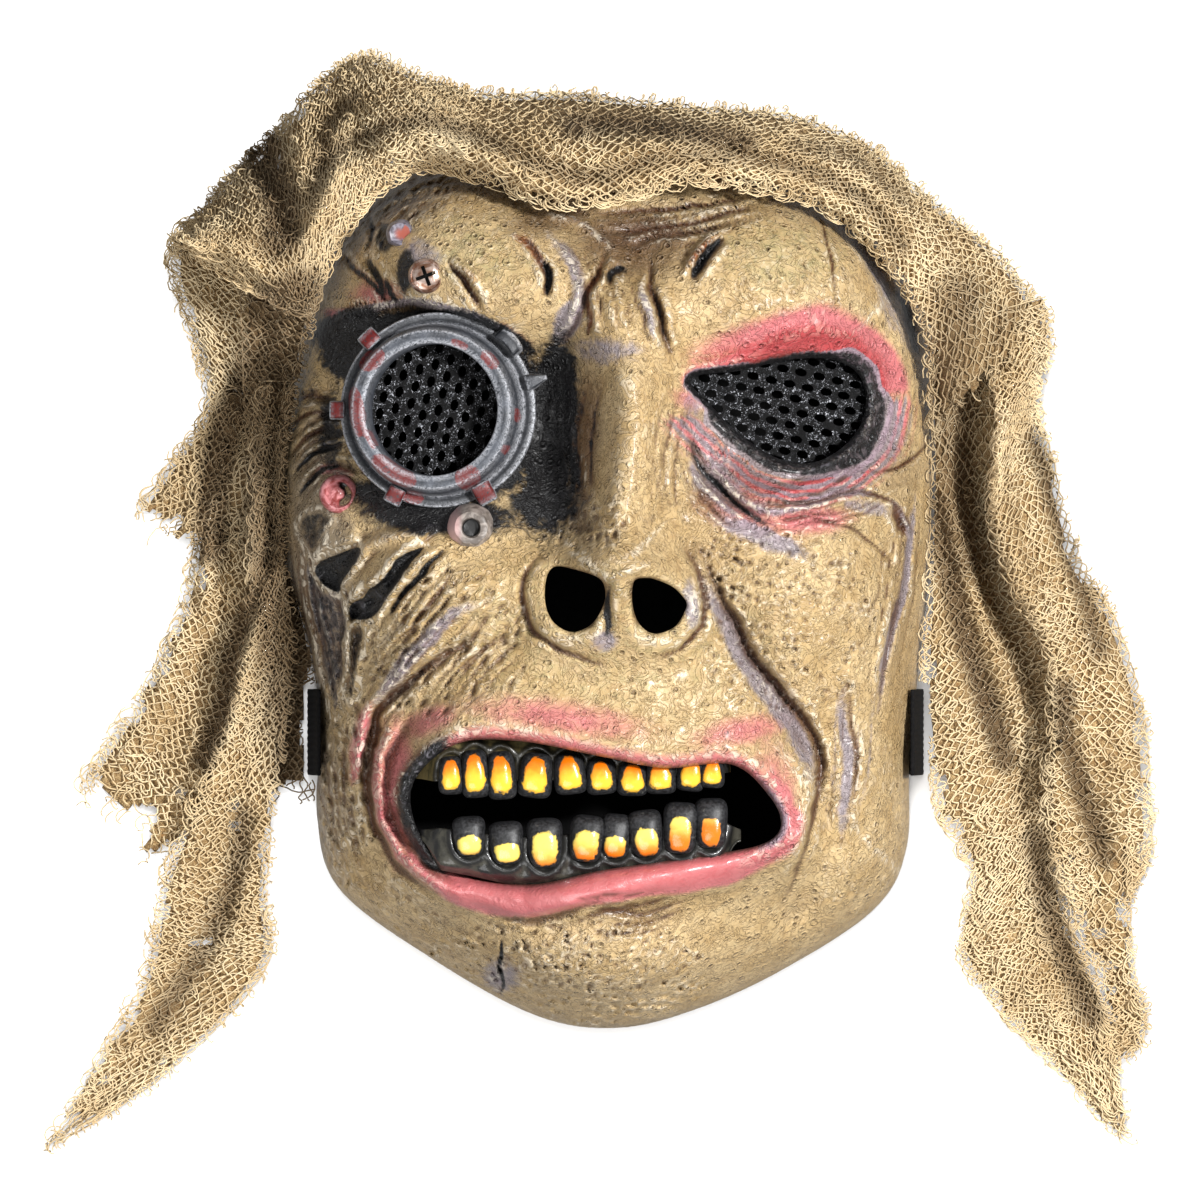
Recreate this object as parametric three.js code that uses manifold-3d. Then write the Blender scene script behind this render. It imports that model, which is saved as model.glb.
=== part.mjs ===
// A rubber zombie mask that lies on its back rim, face up, with a torn gauze hood over its top.
// Millimetres. +Z is out of the face, +Y towards the top of the head, +X to the viewer's right.
// The origin is on the surface that the mask lies on, under the middle of its outline.
import * as THREE from "three";
import { mergeVertices } from "three/addons/utils/BufferGeometryUtils.js";
import Module from "manifold-3d";

const wasm = await Module();
wasm.setup();

// Face shell
const FACE_CENTRE = [3, 6];
const DOME_HEIGHT = 78;
const WALL = 3.4;
const WALL_SIDE = 3.0;
const SHELL_CELLS = [32, 38];
const LINING_CELLS = [14, 18];
// The plan's grid reaches this share of its way before it bends down to the rim.
const FLAT_CELLS = 0.84;
const FLAT_SHARE = 0.9;
const RIM_ARCH = 3.2;
const RIM_ARCH_RUN_OUT = 12;

// Head strap
const STRAP_Y = -40;
const STRAP_WIDTH = 26;
const STRAP_THICKNESS = 1.5;

// Eyepiece on the viewer's left
const EYEPIECE = [-47.4, 56.7];
const EYEPIECE_BASE_RADIUS = 29.2;
const EYEPIECE_FRONT_RADIUS = 25.7;
const EYEPIECE_BASE_TOP = 70;
const EYEPIECE_TOP = 79;
const SIGHT_RADIUS = 19.7;
const SIGHT_SHIFT = -2;
const NET_SEAT_RADIUS = 24;
const NET_SEAT_HEIGHT = 66.5;
const NET_THICKNESS = 1;
const FIT_GAP = 0.35;
const LUG_ANGLES = [17, 47, 134, 180, 243, 299];
const LUG_SIZE = [6.5, 6, 8];
const EYEPIECE_EDGE = 1.5;
const EYEPIECE_BACK = 30;

// Bare eye on the viewer's right: the net behind it lies on a plane that slopes to the temple
const BARE_EYE = [56, 57];
const EYE_PLANE_HEIGHT = 54.6;
const EYE_PLANE_SLOPE = -0.4;

// How low and how high each opening is cut through the face
const EYE_CUT = [20, 120];
const MOUTH_CUT = [40, 120];
const NOSTRIL_CUT = [50, 130];
const SIGHT_CUT = [25, 100];

// Cloth
const CLOTH_THICKNESS = 2.2;
const CLOTH_LOWEST = 0.1;

// Small maths
const clamp = (value, low, high) => Math.min(high, Math.max(low, value));
const smooth = (t) => t * t * (3 - 2 * t);
const blend = (a, b, t) => a + (b - a) * t;

function turned(x, y, centre, degrees) {
  const angle = THREE.MathUtils.degToRad(degrees);
  const dx = x - centre[0];
  const dy = y - centre[1];
  return [
    dx * Math.cos(angle) + dy * Math.sin(angle),
    dy * Math.cos(angle) - dx * Math.sin(angle),
  ];
}

// A rounded swelling of height 1. A higher flatness gives it a flatter top and steeper sides.
function swelling(x, y, centre, radii, degrees = 0, flatness = 2) {
  const [u, v] = turned(x, y, centre, degrees);
  const d = Math.hypot(u / radii[0], v / radii[1]);
  return Math.exp(-Math.pow(d, flatness));
}

// The distance from a point to a line of points
function distanceTo(line, x, y) {
  let best = Infinity;
  for (let i = 0; i < line.length - 1; i++) {
    const [ax, ay] = line[i];
    const [bx, by] = line[i + 1];
    const length2 = (bx - ax) ** 2 + (by - ay) ** 2;
    const t = clamp(
      ((x - ax) * (bx - ax) + (y - ay) * (by - ay)) / length2,
      0,
      1,
    );
    best = Math.min(
      best,
      Math.hypot(x - blend(ax, bx, t), y - blend(ay, by, t)),
    );
  }
  return best;
}

function ridge(x, y, line, width) {
  return Math.exp(-((distanceTo(line, x, y) / width) ** 2));
}

// The mask's outline at its back rim, anticlockwise from the top
const RIM_POINTS = [
  [2, 147],
  [-38, 141],
  [-70, 122],
  [-85, 95],
  [-93, 65],
  [-97, 36],
  [-96, 14],
  [-89, -9],
  [-84, -36],
  [-85, -66],
  [-78, -88],
  [-50, -109],
  [-19, -126],
  [5, -130],
  [28, -125],
  [55, -113],
  [84, -94],
  [94, -75],
  [95, -45],
  [100, 0],
  [103, 44],
  [99, 84],
  [82, 116],
  [44, 139],
];

const rimPolar = RIM_POINTS.map(([x, y]) => {
  const dx = x - FACE_CENTRE[0];
  const dy = y - FACE_CENTRE[1];
  return {
    angle: (Math.atan2(dy, dx) + 2 * Math.PI) % (2 * Math.PI),
    radius: Math.hypot(dx, dy),
  };
}).sort((a, b) => a.angle - b.angle);

function rimRadius(angle) {
  const turn = 2 * Math.PI;
  const a = ((angle % turn) + turn) % turn;
  const n = rimPolar.length;
  let i = rimPolar.findIndex((p) => p.angle > a);
  if (i < 0) i = n;
  const at = (k) => {
    const p = rimPolar[((k % n) + n) % n];
    return { angle: p.angle + turn * Math.floor(k / n), radius: p.radius };
  };
  const [p0, p1, p2, p3] = [at(i - 2), at(i - 1), at(i), at(i + 1)];
  const span = p2.angle - p1.angle;
  const t = (a - p1.angle) / span;
  const m1 = ((p2.radius - p0.radius) / (p2.angle - p0.angle)) * span;
  const m2 = ((p3.radius - p1.radius) / (p3.angle - p1.angle)) * span;
  return (
    p1.radius * (1 + 2 * t) * (1 - t) ** 2 +
    m1 * t * (1 - t) ** 2 +
    p2.radius * t * t * (3 - 2 * t) -
    m2 * t * t * (1 - t)
  );
}

// 0 in the middle of the face and 1 at its rim
function rimShare(x, y) {
  const dx = x - FACE_CENTRE[0];
  const dy = y - FACE_CENTRE[1];
  return Math.hypot(dx, dy) / rimRadius(Math.atan2(dy, dx));
}

const RIM_SIDES = 72;
const rimOutline = (outset) =>
  Array.from({ length: RIM_SIDES }, (_, i) => {
    const angle = (i * 2 * Math.PI) / RIM_SIDES;
    const r = rimRadius(angle) + outset;
    return [
      FACE_CENTRE[0] + r * Math.cos(angle),
      FACE_CENTRE[1] + r * Math.sin(angle),
    ];
  });

// The rim is arched on both sides, where the head strap passes under it.
function rimHeight(y) {
  const d = Math.abs(y - STRAP_Y) / (STRAP_WIDTH / 2 + RIM_ARCH_RUN_OUT);
  return d < 1 ? RIM_ARCH * smooth(clamp((1 - d) * 2.6, 0, 1)) : 0;
}

// Lines on the face
const NOSE_BRIDGE = [
  [9, 84],
  [13, 60],
  [10, 34],
  [7, 14],
];
const FOLD_LEFT = [
  [-20, 2],
  [-30, -14],
  [-48, -26],
  [-63, -40],
  [-69, -58],
  [-66, -76],
];
const FOLD_RIGHT = [
  [29, 12],
  [41, -8],
  [56, -32],
  [68, -52],
  [68, -72],
  [60, -94],
];
const JAW_GROOVE = [
  [72, -22],
  [76, -48],
  [77, -70],
];
const UPPER_LIP = [
  [-58, -52],
  [-40, -37],
  [-22, -38],
  [0, -43],
  [20, -46],
  [40, -43],
  [56, -55],
  [60, -68],
];
const LOWER_LIP = [
  [-59, -60],
  [-57, -75],
  [-46, -88],
  [-22, -92],
  [6, -87],
  [34, -82],
  [56, -74],
];

// How far the front of the face is above the back rim
function faceHeight(x, y) {
  const s = clamp(rimShare(x, y), 0, 1);
  const rim = rimHeight(y);
  const dome = rim + (DOME_HEIGHT - rim) * Math.sqrt(1 - Math.pow(s, 2.8));
  const forms =
    16 * swelling(x, y, [-42, 106], [43, 21], -21, 3) +
    15 * swelling(x, y, [55, 100], [36, 27], 8, 3) -
    10 * swelling(x, y, EYEPIECE, [38, 34], 0, 4) -
    14 * swelling(x, y, [-12, 48], [13, 30], 8, 2) -
    9 * swelling(x, y, BARE_EYE, [34, 22], 0, 3) +
    19 * ridge(x, y, NOSE_BRIDGE, 14) +
    17 * swelling(x, y, [6.5, 0], [29, 19], 0, 4) +
    9 * swelling(x, y, [-52, 0], [28, 26], -35) +
    9 * swelling(x, y, [66, 4], [25, 38], 12) +
    7 * swelling(x, y, [0, -56], [64, 38], 0, 4) -
    5 * ridge(x, y, FOLD_LEFT, 7) -
    6 * ridge(x, y, FOLD_RIGHT, 7) -
    3 * ridge(x, y, JAW_GROOVE, 6) +
    4 * ridge(x, y, UPPER_LIP, 8) +
    7 * ridge(x, y, LOWER_LIP, 8) +
    12 * swelling(x, y, [0, -108], [34, 17], 0, 2.5);
  return dome + forms * smooth(clamp((1 - s) / 0.13, 0, 1));
}

// The inside of the wall stays a wall's thickness under the lowest front nearby.
function liningHeight(x, y) {
  const reach = 5;
  let low = faceHeight(x, y);
  for (let i = 0; i < 8; i++) {
    const angle = (i * Math.PI) / 4;
    const [dx, dy] = [reach * Math.cos(angle), reach * Math.sin(angle)];
    low = Math.min(low, faceHeight(x + dx, y + dy));
  }
  return low - WALL;
}

// The point of the face plan for a square grid from -1 to 1, and its share of the way to the rim
function planPoint(a, b, inset) {
  const w = Math.max(Math.abs(a), Math.abs(b));
  if (w === 0) return [...FACE_CENTRE, 0];
  let angle = Math.PI / 2 - (Math.PI / 4) * (a / (b || 1));
  if (Math.abs(b) >= Math.abs(a)) {
    if (b < 0) angle += Math.PI;
  } else {
    angle = (Math.PI / 4) * (b / a) + (a < 0 ? Math.PI : 0);
  }
  const bend = (w - FLAT_CELLS) / (1 - FLAT_CELLS);
  const s =
    w < FLAT_CELLS
      ? (w / FLAT_CELLS) * FLAT_SHARE
      : FLAT_SHARE + (1 - FLAT_SHARE) * Math.sin(bend * (Math.PI / 2));
  const r = (rimRadius(angle) - inset) * s;
  return [
    FACE_CENTRE[0] + r * Math.cos(angle),
    FACE_CENTRE[1] + r * Math.sin(angle),
    w,
  ];
}

// Solids
function solidFrom(positions, indices) {
  const geometry = new THREE.BufferGeometry()
    .setAttribute("position", new THREE.Float32BufferAttribute(positions, 3))
    .setIndex(indices);
  return toSolid(geometry);
}

function toSolid(geometry) {
  const bare = geometry.clone();
  bare.deleteAttribute("normal");
  bare.deleteAttribute("uv");
  const merged = mergeVertices(bare, 1e-4);
  return new wasm.Manifold(
    new wasm.Mesh({
      numProp: 3,
      vertProperties: merged.attributes.position.array,
      triVerts: new Uint32Array(merged.index.array),
    }),
  );
}

function toMesh(name, solid, material) {
  const made = solid.getMesh();
  const geometry = new THREE.BufferGeometry()
    .setAttribute(
      "position",
      new THREE.BufferAttribute(made.vertProperties.slice(), 3),
    )
    .setIndex(new THREE.BufferAttribute(made.triVerts.slice(), 1));
  geometry.computeVertexNormals();
  const mesh = new THREE.Mesh(geometry, material);
  mesh.name = name;
  return mesh;
}

// The biggest closed surface of a solid: it drops loose crumbs and fills sealed gaps.
function largestBody(solid) {
  return solid
    .decompose()
    .reduce((best, body) => (body.volume() > best.volume() ? body : best));
}

// A grid of points over a flat floor, as one closed solid. Each of its cells is split along the
// diagonal that climbs least, so that creases stay sharp. One that is set outwards keeps the face's
// own heights, so that it clears the face evenly.
function domeSolid([across, along], inset, height, floor) {
  const positions = [];
  const indices = [];
  const n = across + 1;
  for (let j = 0; j <= along; j++) {
    for (let i = 0; i <= across; i++) {
      const [a, b] = [(2 * i) / across - 1, (2 * j) / along - 1];
      const [x, y, w] = planPoint(a, b, inset);
      const [faceX, faceY] = planPoint(a, b, Math.max(inset, 0));
      positions.push(x, y, w > 0.9999 ? floor(x, y) : height(faceX, faceY));
    }
  }
  const top = (i, j) => j * n + i;
  const level = (k) => positions[3 * k + 2];
  for (let j = 0; j < along; j++) {
    for (let i = 0; i < across; i++) {
      const [a, b, c, d] = [
        top(i, j),
        top(i + 1, j),
        top(i + 1, j + 1),
        top(i, j + 1),
      ];
      if (Math.abs(level(a) - level(c)) < Math.abs(level(b) - level(d)))
        indices.push(a, b, c, a, c, d);
      else indices.push(a, b, d, b, c, d);
    }
  }
  const edge = [];
  for (let i = 0; i < across; i++) edge.push(top(i, 0));
  for (let j = 0; j < along; j++) edge.push(top(across, j));
  for (let i = across; i > 0; i--) edge.push(top(i, along));
  for (let j = along; j > 0; j--) edge.push(top(0, j));
  const under = positions.length / 3;
  positions.push(FACE_CENTRE[0], FACE_CENTRE[1], -1);
  edge.forEach((a, k) =>
    indices.push(edge[(k + 1) % edge.length], a, under),
  );
  return solidFrom(positions, indices);
}

function extruded(outline, low, high, holes = []) {
  const shape = new THREE.Shape(outline.map(([x, y]) => new THREE.Vector2(x, y)));
  holes.forEach((hole) =>
    shape.holes.push(
      new THREE.Path(hole.map(([x, y]) => new THREE.Vector2(x, y))),
    ),
  );
  const geometry = new THREE.ExtrudeGeometry(shape, {
    depth: high - low,
    bevelEnabled: false,
    curveSegments: 6,
  });
  return geometry.translate(0, 0, low);
}

function ellipse(centre, radii, sides) {
  const points = [];
  for (let i = 0; i < sides; i++) {
    const angle = (2 * Math.PI * i) / sides;
    points.push([
      centre[0] + radii[0] * Math.cos(angle),
      centre[1] + radii[1] * Math.sin(angle),
    ]);
  }
  return points;
}

const circle = (centre, radius, sides) =>
  ellipse(centre, [radius, radius], sides);

function scaledOutline(outline, centre, factor) {
  return outline.map(([x, y]) => [
    blend(centre[0], x, factor),
    blend(centre[1], y, factor),
  ]);
}

// Leans a shape so that its flat ends follow the bare eye's sloping plane.
function leaned(geometry) {
  const shear = new THREE.Matrix4().set(
    1, 0, 0, 0,
    0, 1, 0, 0,
    EYE_PLANE_SLOPE, 0, 1, -EYE_PLANE_SLOPE * BARE_EYE[0],
    0, 0, 0, 1,
  );
  return geometry.applyMatrix4(shear);
}

function lathed(profile, centre, sides) {
  const geometry = new THREE.LatheGeometry(
    profile.map(([r, z]) => new THREE.Vector2(r, z)),
    sides,
  );
  return geometry.rotateX(Math.PI / 2).translate(centre[0], centre[1], 0);
}

// The bare eye's lids, from the inner corner round the upper lid
const EYE_OPENING = [
  [28, 66],
  [35, 57],
  [44, 48.5],
  [55, 42],
  [66, 41.5],
  [76, 48],
  [80.5, 57],
  [79, 67],
  [71, 72],
  [58, 72],
  [42, 68.5],
];

// The open mouth, from its left corner along the lower lip
const MOUTH_OPENING = [
  [-55, -55],
  [-53, -70],
  [-42, -81],
  [-21, -85],
  [2, -80.5],
  [30, -76.5],
  [49, -73],
  [55, -67],
  [51, -58],
  [40, -49],
  [20, -50],
  [1, -46.5],
  [-23, -42],
  [-42, -43],
];
const NOSTRILS = [
  { centre: [-6, 0.5], radii: [9, 10.3] },
  { centre: [18.9, -1.5], radii: [8.6, 9.4] },
];

// Teeth: middle, width and height of each, and the height of their front faces over the back rim
const UPPER_TEETH = [
  [-43.5, -52.3, 6, 10.5],
  [-36.3, -51.8, 7, 13.5],
  [-28.5, -52.3, 7.2, 13.5],
  [-18.3, -52.3, 8.6, 12.6],
  [-8.1, -51.8, 8, 11.5],
  [1.2, -52.6, 7.6, 10],
  [10.6, -53.2, 7.6, 9.6],
  [19, -52.6, 7.6, 9.6],
  [28, -51.8, 6.8, 9.6],
  [34.4, -51.4, 5.8, 8.4],
];
const LOWER_TEETH = [
  [-38.1, -70.5, 8, 11],
  [-27, -72.5, 8.6, 12],
  [-15.6, -72.5, 9, 14],
  [-3, -71.2, 8.8, 13],
  [5.6, -70.5, 7.6, 12.4],
  [14.6, -69.6, 8.6, 13],
  [24.9, -68, 8.8, 14.4],
  [34, -66.6, 8.2, 14],
];
const TEETH_FRONT = 79;
const TEETH_DEPTH = 14;
const TEETH_SWELL = [1.6, 1];
const GUM_BACK = 63;
const GUM_FRONT = 73;
const GUM_UNDER_LIP = 6;
const GUM_UNDER_TEETH = 1.5;

function tooth([x, y, width, height], front) {
  const geometry = new THREE.SphereGeometry(1, 6, 4).rotateX(Math.PI / 2);
  const points = geometry.attributes.position;
  const squarer = (value) => Math.sign(value) * Math.abs(value) ** 0.7;
  for (let i = 0; i < points.count; i++) {
    points.setXYZ(
      i,
      squarer(points.getX(i)),
      squarer(points.getY(i)),
      squarer(points.getZ(i)),
    );
  }
  geometry.scale(
    (width + TEETH_SWELL[0]) / 2,
    (height + TEETH_SWELL[1]) / 2,
    TEETH_DEPTH / 2,
  );
  return toSolid(geometry.translate(x, y, front - TEETH_DEPTH / 2));
}

// A strip of gum from behind a row of teeth to under its lip
function gum(first, teeth, last, towards) {
  const row = [first, ...teeth, last];
  const outer = row.map(([x, y, , h]) => [
    x,
    y + towards * (h / 2 + GUM_UNDER_LIP),
  ]);
  const inner = row.map(([x, y, , h]) => [
    x,
    y - towards * (h / 2 - GUM_UNDER_TEETH),
  ]);
  const outline = [...outer, ...inner.reverse()];
  return toSolid(extruded(outline, GUM_BACK, GUM_FRONT));
}

// Bolts in the flesh round the eyepiece: middle, radius, height over the skin, hole radius
const BOLTS = [
  { centre: [-51, 96.6], radius: 5.2, proud: 3, hole: 0 },
  { centre: [-58.8, 109.5], radius: 3.8, proud: 3, hole: 0 },
  { centre: [-77.4, 31.8], radius: 6, proud: 4, hole: 2.4 },
  { centre: [-37.5, 21.5], radius: 5.8, proud: 6, hole: 2.4 },
];

function bolt({ centre, radius, proud, hole }) {
  const [sunk, edge, holeDepth] = [2.5, 1.2, 3];
  const skin = faceHeight(...centre);
  const top = skin + proud;
  const floor = top - holeDepth;
  const profile = [
    [0, skin - sunk],
    [radius, skin - sunk],
    [radius, top - edge],
    [radius - edge, top],
  ];
  if (hole) profile.push([hole, top], [hole, floor], [0, floor]);
  else profile.push([0, top]);
  return toSolid(lathed(profile, centre, 8));
}

function eyepieceBody() {
  const body = toSolid(
    lathed(
      [
        [0, EYEPIECE_BACK],
        [EYEPIECE_BASE_RADIUS, EYEPIECE_BACK],
        [EYEPIECE_BASE_RADIUS, EYEPIECE_BASE_TOP - EYEPIECE_EDGE],
        [EYEPIECE_BASE_RADIUS - EYEPIECE_EDGE, EYEPIECE_BASE_TOP],
        [EYEPIECE_FRONT_RADIUS, EYEPIECE_BASE_TOP],
        [EYEPIECE_FRONT_RADIUS, EYEPIECE_TOP - EYEPIECE_EDGE],
        [EYEPIECE_FRONT_RADIUS - EYEPIECE_EDGE, EYEPIECE_TOP],
        [0, EYEPIECE_TOP],
      ],
      EYEPIECE,
      28,
    ),
  );
  return LUG_ANGLES.reduce((solid, degrees) => {
    const lug = new THREE.BoxGeometry(...LUG_SIZE);
    lug.translate(EYEPIECE_BASE_RADIUS - 0.5, 0, EYEPIECE_BASE_TOP - 1);
    lug.rotateZ(THREE.MathUtils.degToRad(degrees));
    return solid.add(toSolid(lug.translate(EYEPIECE[0], EYEPIECE[1], 0)));
  }, body);
}

function faceShell() {
  const front = domeSolid(SHELL_CELLS, 0, faceHeight, (x, y) => rimHeight(y));
  const below = toSolid(
    new THREE.BoxGeometry(300, 360, 20).translate(0, 0, -10),
  );
  const inside = domeSolid(LINING_CELLS, WALL_SIDE, liningHeight, () => -2);
  const eyeBoss = toSolid(
    leaned(
      extruded(
        scaledOutline(EYE_OPENING, BARE_EYE, 1.2),
        EYE_PLANE_HEIGHT,
        EYE_PLANE_HEIGHT + 40,
      ),
    ),
  ).intersect(front);
  let shell = front.subtract(below).subtract(inside).add(eyeBoss);
  const eyeCut = toSolid(leaned(extruded(EYE_OPENING, ...EYE_CUT)));
  const netRoom = toSolid(
    leaned(
      extruded(
        scaledOutline(EYE_OPENING, BARE_EYE, 1.15),
        EYE_CUT[0],
        EYE_PLANE_HEIGHT,
      ),
    ),
  );
  const mouthCut = toSolid(extruded(MOUTH_OPENING, ...MOUTH_CUT));
  shell = shell.subtract(eyeCut).subtract(netRoom).subtract(mouthCut);
  NOSTRILS.forEach(({ centre, radii }) => {
    const outline = ellipse(centre, radii, 18);
    shell = shell.subtract(toSolid(extruded(outline, ...NOSTRIL_CUT)));
  });
  shell = shell.add(eyepieceBody().subtract(inside));
  const sight = circle([EYEPIECE[0] + SIGHT_SHIFT, EYEPIECE[1]], SIGHT_RADIUS, 28);
  const seat = circle(EYEPIECE, NET_SEAT_RADIUS, 24);
  shell = shell
    .subtract(toSolid(extruded(sight, ...SIGHT_CUT)))
    .subtract(toSolid(extruded(seat, SIGHT_CUT[0], NET_SEAT_HEIGHT)));
  const mouthParts = [
    gum([-53, -53, 6, 9], UPPER_TEETH, [39, -51, 6, 8], 1),
    gum([-52, -69, 6, 8], LOWER_TEETH, [42, -69, 6, 8], -1),
    ...UPPER_TEETH.map((t) => tooth(t, TEETH_FRONT)),
    ...LOWER_TEETH.map((t) => tooth(t, TEETH_FRONT - 1)),
  ];
  [...mouthParts, ...BOLTS.map(bolt)].forEach((piece) => {
    shell = shell.add(piece);
  });
  return shell;
}

function eyepieceNet() {
  const top = NET_SEAT_HEIGHT - FIT_GAP;
  const outline = circle(EYEPIECE, NET_SEAT_RADIUS - 0.6, 24);
  return toSolid(extruded(outline, top - NET_THICKNESS, top));
}

function bareEyeNet() {
  const top = EYE_PLANE_HEIGHT - FIT_GAP;
  const outline = scaledOutline(EYE_OPENING, BARE_EYE, 1.12);
  return toSolid(leaned(extruded(outline, top - NET_THICKNESS, top)));
}

// The elastic strap: glued to the outside of both cheeks, under the rim and loose across the hollow
function headStrap() {
  const [leftRim, rightRim] = [-86, 97.2];
  const side = (rim, out) => [
    [rim - out * 2.2, 27],
    [rim + out * 0.6, 16],
    [rim + out * 1.8, 7],
    [rim + out * 1.3, 2.8],
    [rim - out * 1.2, 1.0],
    [rim - out * 10, 0.9],
  ];
  const line = [
    ...side(leftRim, -1),
    [-30, 1.1],
    [0, 1.3],
    [35, 1.1],
    ...side(rightRim, 1).reverse(),
  ];
  const route = new THREE.CatmullRomCurve3(
    line.map(([x, z]) => new THREE.Vector3(x, STRAP_Y, z)),
    false,
    "catmullrom",
    0.2,
  );
  const points = route.getPoints(34);
  const upper = [];
  const lower = [];
  points.forEach((p, i) => {
    const a = points[Math.max(i - 1, 0)];
    const b = points[Math.min(i + 1, points.length - 1)];
    const along = b.clone().sub(a).normalize();
    const off = along.multiplyScalar(STRAP_THICKNESS / 2);
    upper.push([p.x - off.z, p.z + off.x]);
    lower.push([p.x + off.z, p.z - off.x]);
  });
  const outline = [...lower, ...upper.reverse()];
  const band = extruded(outline, -STRAP_WIDTH / 2, STRAP_WIDTH / 2);
  band.rotateX(Math.PI / 2).translate(0, STRAP_Y, 0);
  return toSolid(band);
}

// Hood. Each drape of its one torn cloth spans two edges, given from the crown to the hem.
const splined = (points) =>
  new THREE.CatmullRomCurve3(
    points.map(([x, y, z]) => new THREE.Vector3(x, y, z)),
    false,
    "centripetal",
  );

function sheetSolid(along, across, at) {
  const n = across + 1;
  const points = [];
  for (let i = 0; i <= along; i++)
    for (let j = 0; j <= across; j++) points.push(at(i / along, j / across));
  const index = (i, j) => clamp(i, 0, along) * n + clamp(j, 0, across);
  const positions = [];
  [[1, CLOTH_LOWEST + 1.5], [-1, CLOTH_LOWEST]].forEach(([side, lowest]) => {
    for (let i = 0; i <= along; i++) {
      for (let j = 0; j <= across; j++) {
        const du = points[index(i + 1, j)].clone().sub(points[index(i - 1, j)]);
        const dv = points[index(i, j + 1)].clone().sub(points[index(i, j - 1)]);
        const normal = du.cross(dv).normalize();
        if (normal.z < 0) normal.negate();
        normal.multiplyScalar((side * CLOTH_THICKNESS) / 2);
        const p = points[index(i, j)].clone().add(normal);
        positions.push(p.x, p.y, Math.max(p.z, lowest));
      }
    }
  });
  const count = points.length;
  const indices = [];
  const quad = (a, b, c, d) => indices.push(a, b, c, a, c, d);
  const edge = (a, b) => quad(a, b, count + b, count + a);
  for (let i = 0; i < along; i++) {
    for (let j = 0; j < across; j++) {
      const [a, b] = [index(i, j), index(i + 1, j)];
      const [c, d] = [index(i + 1, j + 1), index(i, j + 1)];
      quad(a, b, c, d);
      quad(count + d, count + c, count + b, count + a);
    }
  }
  for (let i = 0; i < along; i++) {
    edge(index(i + 1, 0), index(i, 0));
    edge(index(i, across), index(i + 1, across));
  }
  for (let j = 0; j < across; j++) {
    edge(index(0, j), index(0, j + 1));
    edge(index(along, j + 1), index(along, j));
  }
  const solid = solidFrom(positions, indices);
  if (solid.volume() > 0) return solid;
  const reversed = [];
  for (let i = 0; i < indices.length; i += 3)
    reversed.push(indices[i], indices[i + 2], indices[i + 1]);
  return solidFrom(positions, reversed);
}

const CROWN_HEM = [
  [-128, 111, 32], [-117, 104, 42], [-104, 95, 48], [-92, 90, 50],
  [-82, 103, 50], [-74, 117, 52], [-64, 127, 55], [-47, 131, 61],
  [-28, 125, 71], [-11, 118, 77], [7, 120, 77], [26, 130, 71],
  [44, 135, 64], [61, 128, 60], [79, 112, 54], [92, 99, 48],
  [100, 80, 42], [102, 46, 28],
];
const CROWN_BACK = [
  [-127, 104, 8], [-123, 114, 5], [-112, 128, 4], [-101, 139, 4],
  [-89, 152, 4], [-78, 162, 4], [-68, 165, 4], [-51, 158, 4],
  [-34, 154, 3], [-11, 154, 3], [13, 152, 3], [38, 149, 3],
  [60, 147, 3], [82, 138, 4], [93, 129, 4], [107, 117, 4],
  [124, 103, 5], [136, 86, 8],
];
const CROWN_PUFF = 12;
const CROWN_ALONG = 26;
const CROWN_ACROSS = 4;

function crown(u, v) {
  const hem = splined(CROWN_HEM).getPoint(u);
  const back = splined(CROWN_BACK).getPoint(u);
  const p = hem.clone().lerp(back, v);
  const top = hem.z + CROWN_PUFF * Math.sin(Math.PI * Math.min(v * 1.3, 1));
  p.z = blend(top, back.z, Math.pow(v, 4));
  return p;
}

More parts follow.
